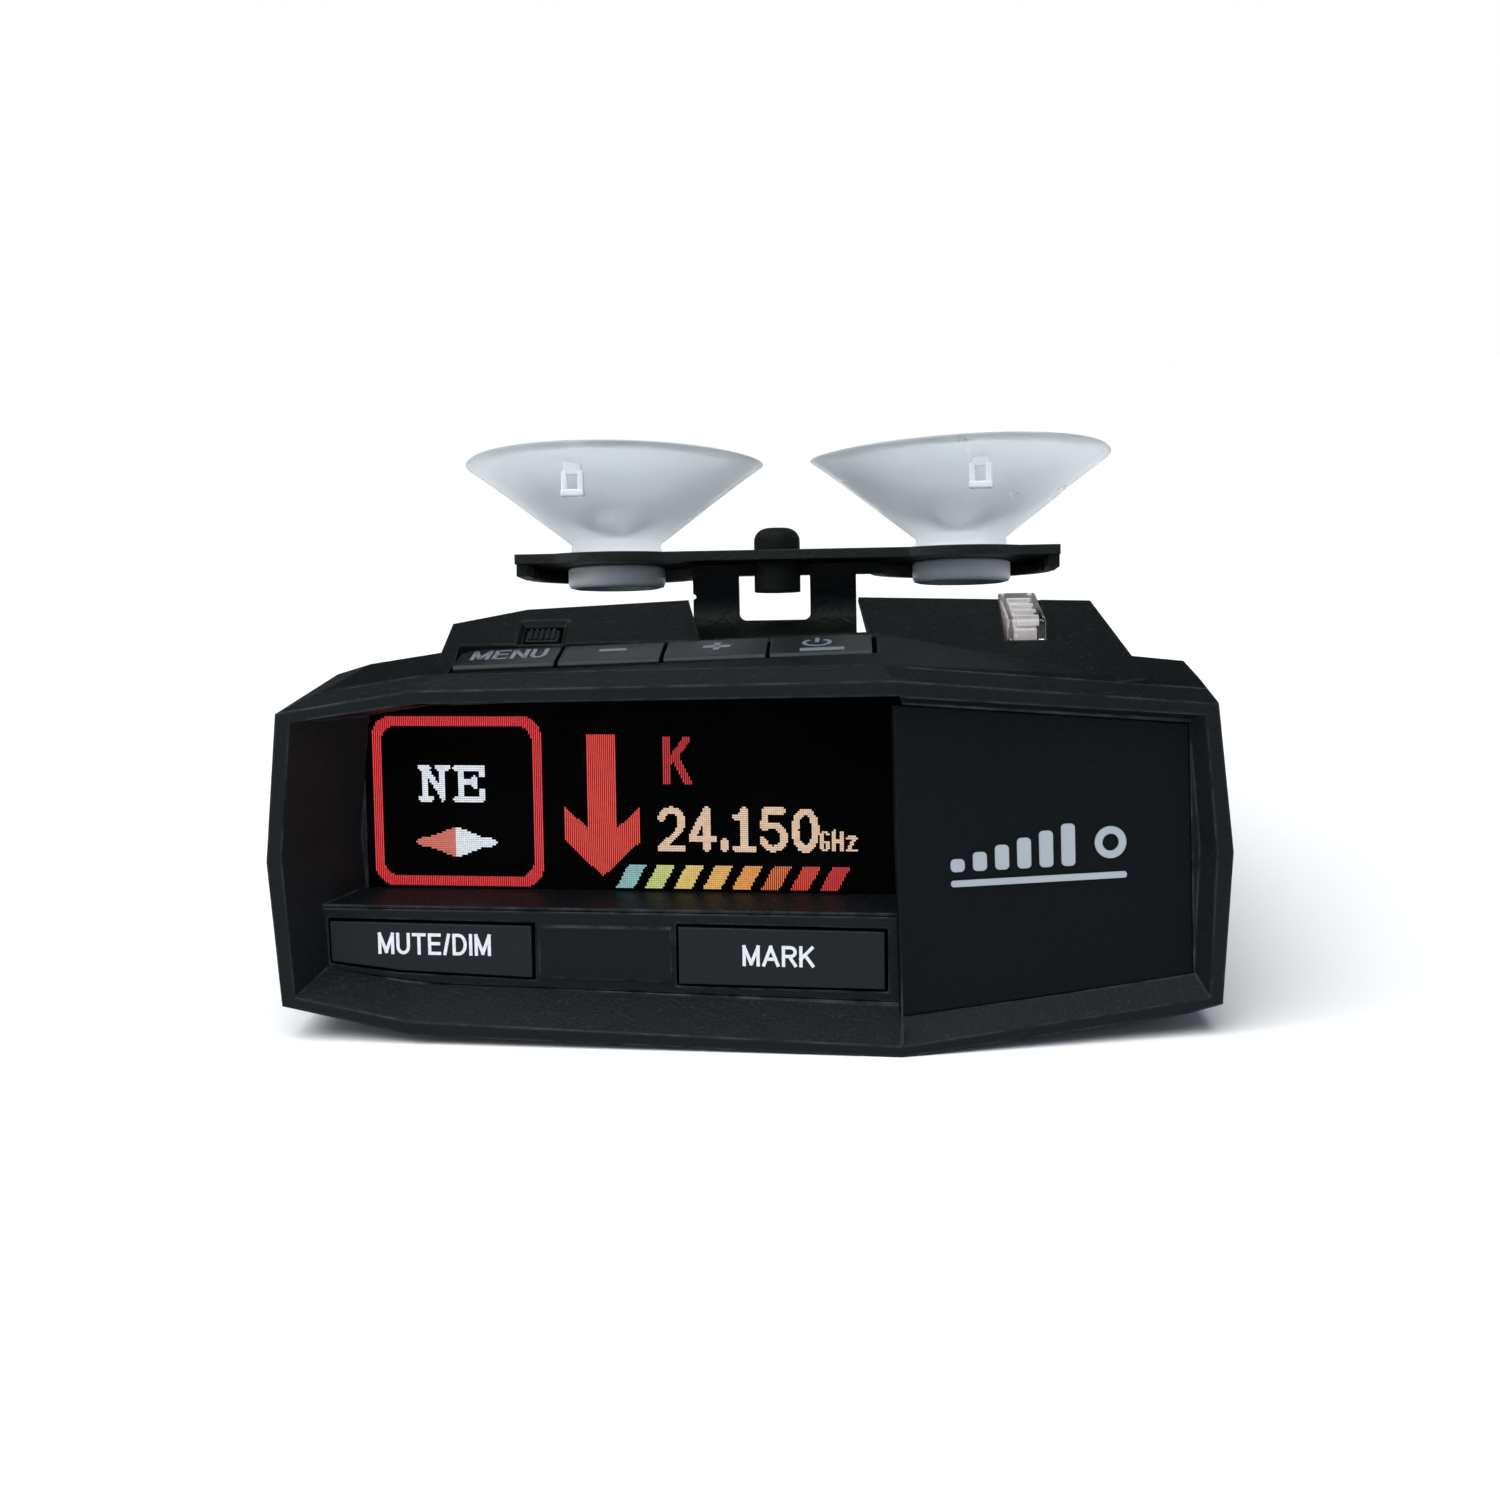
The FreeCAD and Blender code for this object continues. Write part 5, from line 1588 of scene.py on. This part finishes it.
@dataclass
class Enclosure:
    """Bezel, housings, windows, sockets, screws and label."""

    contact: float = 0.42
    contact_pitch: float = 1.02

    FINISHES = {
        "front_bezel": "case",
        "upper_housing": "deck",
        "lower_housing": "case",
        "side_panel": "panel",
        "display_window": "window",
        "panel_mark": "mark",
        "bracket_rails": "socket",
        "rear_sensor": "socket",
        "forward_window": "road",
        "power_socket": "socket",
        "audio_jack": "socket",
        "data_port": "tin",
        "housing_screws": "steel",
        "label_plate": "label",
    }

    def power_contacts(self) -> None:
        """Adds the sprung gold contacts inside the power socket."""
        low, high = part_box("power_socket")
        middle = (low.y + high.y) / 2 / MM
        first = middle - 2.5 * self.contact_pitch
        row = BARS.mesh(
            LEVEL, 6, (-41.9, first, 11.95), (0.0, self.contact_pitch, 0.0), (2.6, self.contact, 0.3),
            "gold"
        )
        add_piece("power_contacts", row, "gold", Body.CASE)

    def data_tongue(self) -> None:
        """Adds the data port's tongue and its contacts."""
        low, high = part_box("data_port")
        middle = (low.y + high.y) / 2 / MM
        tongue = BARS.mesh(LEVEL, 1, (-41.2, middle, 12.35), (0.0, 0.0, 0.0), (4.0, 5.0, 0.45), "socket")
        add_piece("data_tongue", tongue, "socket", Body.CASE)
        pads = BARS.mesh(LEVEL, 5, (-41.9, middle - 1.3, 12.10), (0.0, 0.65, 0.0), (2.2, 0.3, 0.08), "gold")
        add_piece("data_contacts", pads, "gold", Body.CASE)

    def label_lines(self) -> None:
        """Adds the plain printed rules on the underside's label."""
        low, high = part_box("label_plate")
        middle_x, middle_y = (low.x + high.x) / 2 / MM, (low.y + high.y) / 2 / MM
        level = low.z / MM
        rules = BARS.mesh(
            LEVEL, 7, (middle_x, middle_y - 10.5, level), (0.0, 3.1, 0.0), (26.0, 0.35, 0.03), "label_print"
        )
        ticks = BARS.mesh(
            LEVEL, 24, (middle_x - 11.5, middle_y + 11.6, level), (1.0, 0.0, 0.0), (0.45, 2.4, 0.03),
            "label_print"
        )
        add_piece("label_rules", joined([rules, ticks]), "label_print", Body.CASE)

    def clear_lens(self) -> None:
        """Adds the clear rear lens with the pale light guide moulded inside it."""
        low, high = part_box("rear_lens")
        x0, x1, y0, y1, z0, z1 = (v / MM for v in (low.x, high.x, low.y, high.y, low.z, high.z))
        side = [(y0, z0), (y1, z0), (y1, z1), (y0 + 0.35, z1 - 1.62), (y0, z1 - 1.97)]
        outer = self.leaning_block(side, x0, x1, 0.0, 0.00028)
        lens = add_piece("rear_lens_clear", outer, "lens", Body.CASE)
        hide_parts("rear_lens")
        inner = [(y0 + 0.8, z0 + 0.4), (y1 - 0.8, z0 + 0.4), (y1 - 0.8, z1 - 1.0), (y0 + 0.9, z1 - 2.7)]
        guide = self.leaning_block(inner, x0, x1, 0.75, 0.00015)
        add_piece("rear_lens_guide", guide, "guide", Body.CASE)
        steps = BARS.mesh(
            LEVEL, 4, ((x0 + x1) / 2 + 0.3, y0 + 1.5, z1 - 2.05), (-0.14, 1.6, 0.38), (2.1, 0.4, 0.7), "tab"
        )
        add_piece("rear_lens_steps", steps, "tab", Body.CASE)

    @staticmethod
    def leaning_block(side: list[Point], x0: float, x1: float, inset: float, soft: float) -> bpy.types.Mesh:
        """Makes a block from its side view, leaning outwards towards the front.

        Args:
            side: Side view, y and z of each corner, in millimetres.
            x0: Left side.
            x1: Right side.
            inset: How far both sides are drawn in.
            soft: Width of its softened edges in metres.

        Returns:
            The block's mesh in the frame.
        """
        back = max(y for y, z in side)
        vertices = []
        for x in (x0 + inset, x1 - inset):
            vertices += [((x + (back - y) * 0.055 - 0.3) * MM, y * MM, z * MM) for y, z in side]
        count = len(side)
        faces = [tuple(range(count)), tuple(range(count, 2 * count))]
        faces += [(i, (i + 1) % count, (i + 1) % count + count, i + count) for i in range(count)]
        mesh = solid_from(vertices, faces, "block")
        carrier = bpy.data.objects.new("block", mesh)
        bpy.context.scene.collection.objects.link(carrier)
        bevel = carrier.modifiers.new("soft", "BEVEL")
        bevel.width, bevel.segments = soft, 3
        return evaluated_mesh(carrier)

    def build(self) -> None:
        """Dresses the case and adds its fine details."""
        for node, finish in self.FINISHES.items():
            dress(node, finish)
        self.power_contacts()
        self.data_tongue()
        self.label_lines()
        self.clear_lens()


@dataclass
class Electronics:
    """Boards, switches, antennas and sensors inside the case."""

    FINISHES = {
        "oled_panel": "window",
        "display_board": "board",
        "front_switch_board": "board",
        "top_switch_board": "board",
        "main_board": "board",
        "front_switches": "steel",
        "top_switches": "steel",
        "rf_shield": "tin",
        "forward_horn": "cast",
        "rearward_horn": "cast",
        "laser_receiver": "socket",
        "speaker": "speaker",
        "gps_antenna": "ceramic",
    }

    def build(self) -> None:
        """Dresses the solids inside the case."""
        for node, finish in self.FINISHES.items():
            dress(node, finish)


# ---------------------------------------------------------------- studio


@dataclass(frozen=True)
class Lamp:
    """A soft lamp: a rectangle at a place, or open sky light from a direction."""

    name: str
    place: tuple[float, float, float]
    aim: tuple[float, float, float]
    size: Point
    power: float
    colour: Colour = (1.0, 1.0, 1.0)
    sky: float = 0.0

    def build(self) -> bpy.types.Object:
        """Builds the lamp and turns it to its aim.

        Returns:
            The lamp.
        """
        data = bpy.data.lights.new(self.name, "SUN" if self.sky else "AREA")
        if self.sky:
            data.angle = math.radians(self.sky)
        else:
            data.shape = "RECTANGLE"
            data.size, data.size_y = self.size
        data.energy = self.power
        data.color = self.colour
        lamp = bpy.data.objects.new(self.name, data)
        bpy.context.scene.collection.objects.link(lamp)
        lamp.location = self.place
        lamp.rotation_euler = (Vector(self.aim) - Vector(self.place)).to_track_quat("-Z", "Y").to_euler()
        lamp.visible_camera = False
        return lamp


@dataclass
class Studio:
    """Pale floor, soft lamps, surroundings and camera."""

    lens: float = 50.4
    place: tuple[float, float, float] = (0.01084, -0.24320, 0.06481)
    target: tuple[float, float, float] = (0.00119, -0.059, 0.02896)
    roll: float = math.radians(1.4)
    front_glow: float = 0.44
    back_glow: float = 0.05
    lamps: tuple[Lamp, ...] = (
        Lamp("sky", (-0.26, -0.36, 1.0), (0.0, 0.0, 0.0), (1.0, 1.0), 3.3, sky=70.0),
        Lamp("left_strip", (-0.7, -0.35, 0.35), (0.0, 0.0, 0.03), (0.15, 0.6), 1.3),
        Lamp("right_strip", (0.80, -0.35, 0.20), (0.0, 0.0, 0.03), (0.15, 0.6), 0.35),
        Lamp(
            "display_glow", (-0.0289, -0.0465, 0.0213), (-0.0330, -0.0700, 0.0200), (0.015, 0.013), 0.00028,
            (1.0, 0.04, 0.05)
        ),
    )

    def camera(self) -> None:
        """Adds the camera."""
        data = bpy.data.cameras.new("camera")
        data.lens = self.lens
        data.sensor_width = 36.0
        data.clip_start, data.clip_end = 0.01, 20.0
        holder = bpy.data.objects.new("camera", data)
        bpy.context.scene.collection.objects.link(holder)
        ahead = (Vector(self.target) - Vector(self.place)).normalized()
        level = ahead.cross(Vector((0.0, 0.0, 1.0))).normalized()
        up = level.cross(ahead)
        right = level * math.cos(self.roll) - up * math.sin(self.roll)
        up = up * math.cos(self.roll) + level * math.sin(self.roll)
        turn = Matrix([[right[i], up[i], -ahead[i]] for i in range(3)]).to_4x4()
        holder.matrix_world = Matrix.Translation(self.place) @ turn
        bpy.context.scene.camera = holder

    def floor(self) -> None:
        """Adds the plain pale floor."""
        half = 4.0
        mesh = bpy.data.meshes.new("floor")
        mesh.from_pydata(
            [(-half, -half, 0.0), (half, -half, 0.0), (half, half, 0.0), (-half, half, 0.0)], [],
            [(0, 1, 2, 3)]
        )
        material = bpy.data.materials.new("floor_paper")
        material.use_nodes = True
        tree = material.node_tree
        shader = tree.nodes["Principled BSDF"]
        place = put(tree, "ShaderNodeTexCoord").outputs["Object"]
        fibre = put(
            tree, "ShaderNodeTexNoise", {"Vector": place, "Scale": 30.0, "Detail": 3.0}
        ).outputs["Fac"]
        tree.links.new(
            blend_colour(tree, fibre, (0.93, 0.93, 0.93), (0.95, 0.95, 0.95)), shader.inputs["Base Color"]
        )
        shader.inputs["Roughness"].default_value = 0.9
        shader.inputs["Specular IOR Level"].default_value = 0.1
        mesh.materials.append(material)
        paper = bpy.data.objects.new("floor", mesh)
        bpy.context.scene.collection.objects.link(paper)

    def surroundings(self) -> None:
        """Adds the even pale surroundings, dimmer as a light than as a backdrop."""
        world = bpy.data.worlds.new("surroundings")
        world.use_nodes = True
        tree = world.node_tree
        tree.nodes.clear()
        path = put(tree, "ShaderNodeLightPath")
        seen = maths(tree, "MAXIMUM", path.outputs["Is Camera Ray"], path.outputs["Is Transmission Ray"])
        way = put(
            tree, "ShaderNodeSeparateXYZ", {0: put(tree, "ShaderNodeTexCoord").outputs["Generated"]}
        ).outputs["Y"]
        ramp = {
            "Value": way, "From Min": -0.5, "From Max": 0.6, "To Min": self.front_glow,
            "To Max": self.back_glow
        }
        glow = put(tree, "ShaderNodeMapRange", ramp).outputs[0]
        lit = put(tree, "ShaderNodeBackground", {"Color": (0.72, 0.86, 1.0, 1.0), "Strength": glow})
        backdrop = put(tree, "ShaderNodeBackground", {"Color": (1.0, 1.0, 1.0, 1.0), "Strength": 1.0})
        mixed = put(tree, "ShaderNodeMixShader", {0: seen, 1: lit.outputs[0], 2: backdrop.outputs[0]})
        put(tree, "ShaderNodeOutputWorld", {"Surface": mixed.outputs[0]})
        bpy.context.scene.world = world
        bpy.context.scene.view_settings.view_transform = "Standard"

    def build(self) -> None:
        """Builds the whole studio."""
        self.camera()
        self.floor()
        self.surroundings()
        for lamp in self.lamps:
            lamp.build()


def main() -> None:
    """Builds the detector's looks and its studio."""
    logging.basicConfig(level=logging.INFO, format="%(message)s")
    Studio().build()
    for part in (Enclosure(), DisplayScreen(), KeySet(), SuctionMount(), Electronics()):
        part.build()
        LOG.info("%s built", type(part).__name__)


if __name__ == "__main__":
    main()
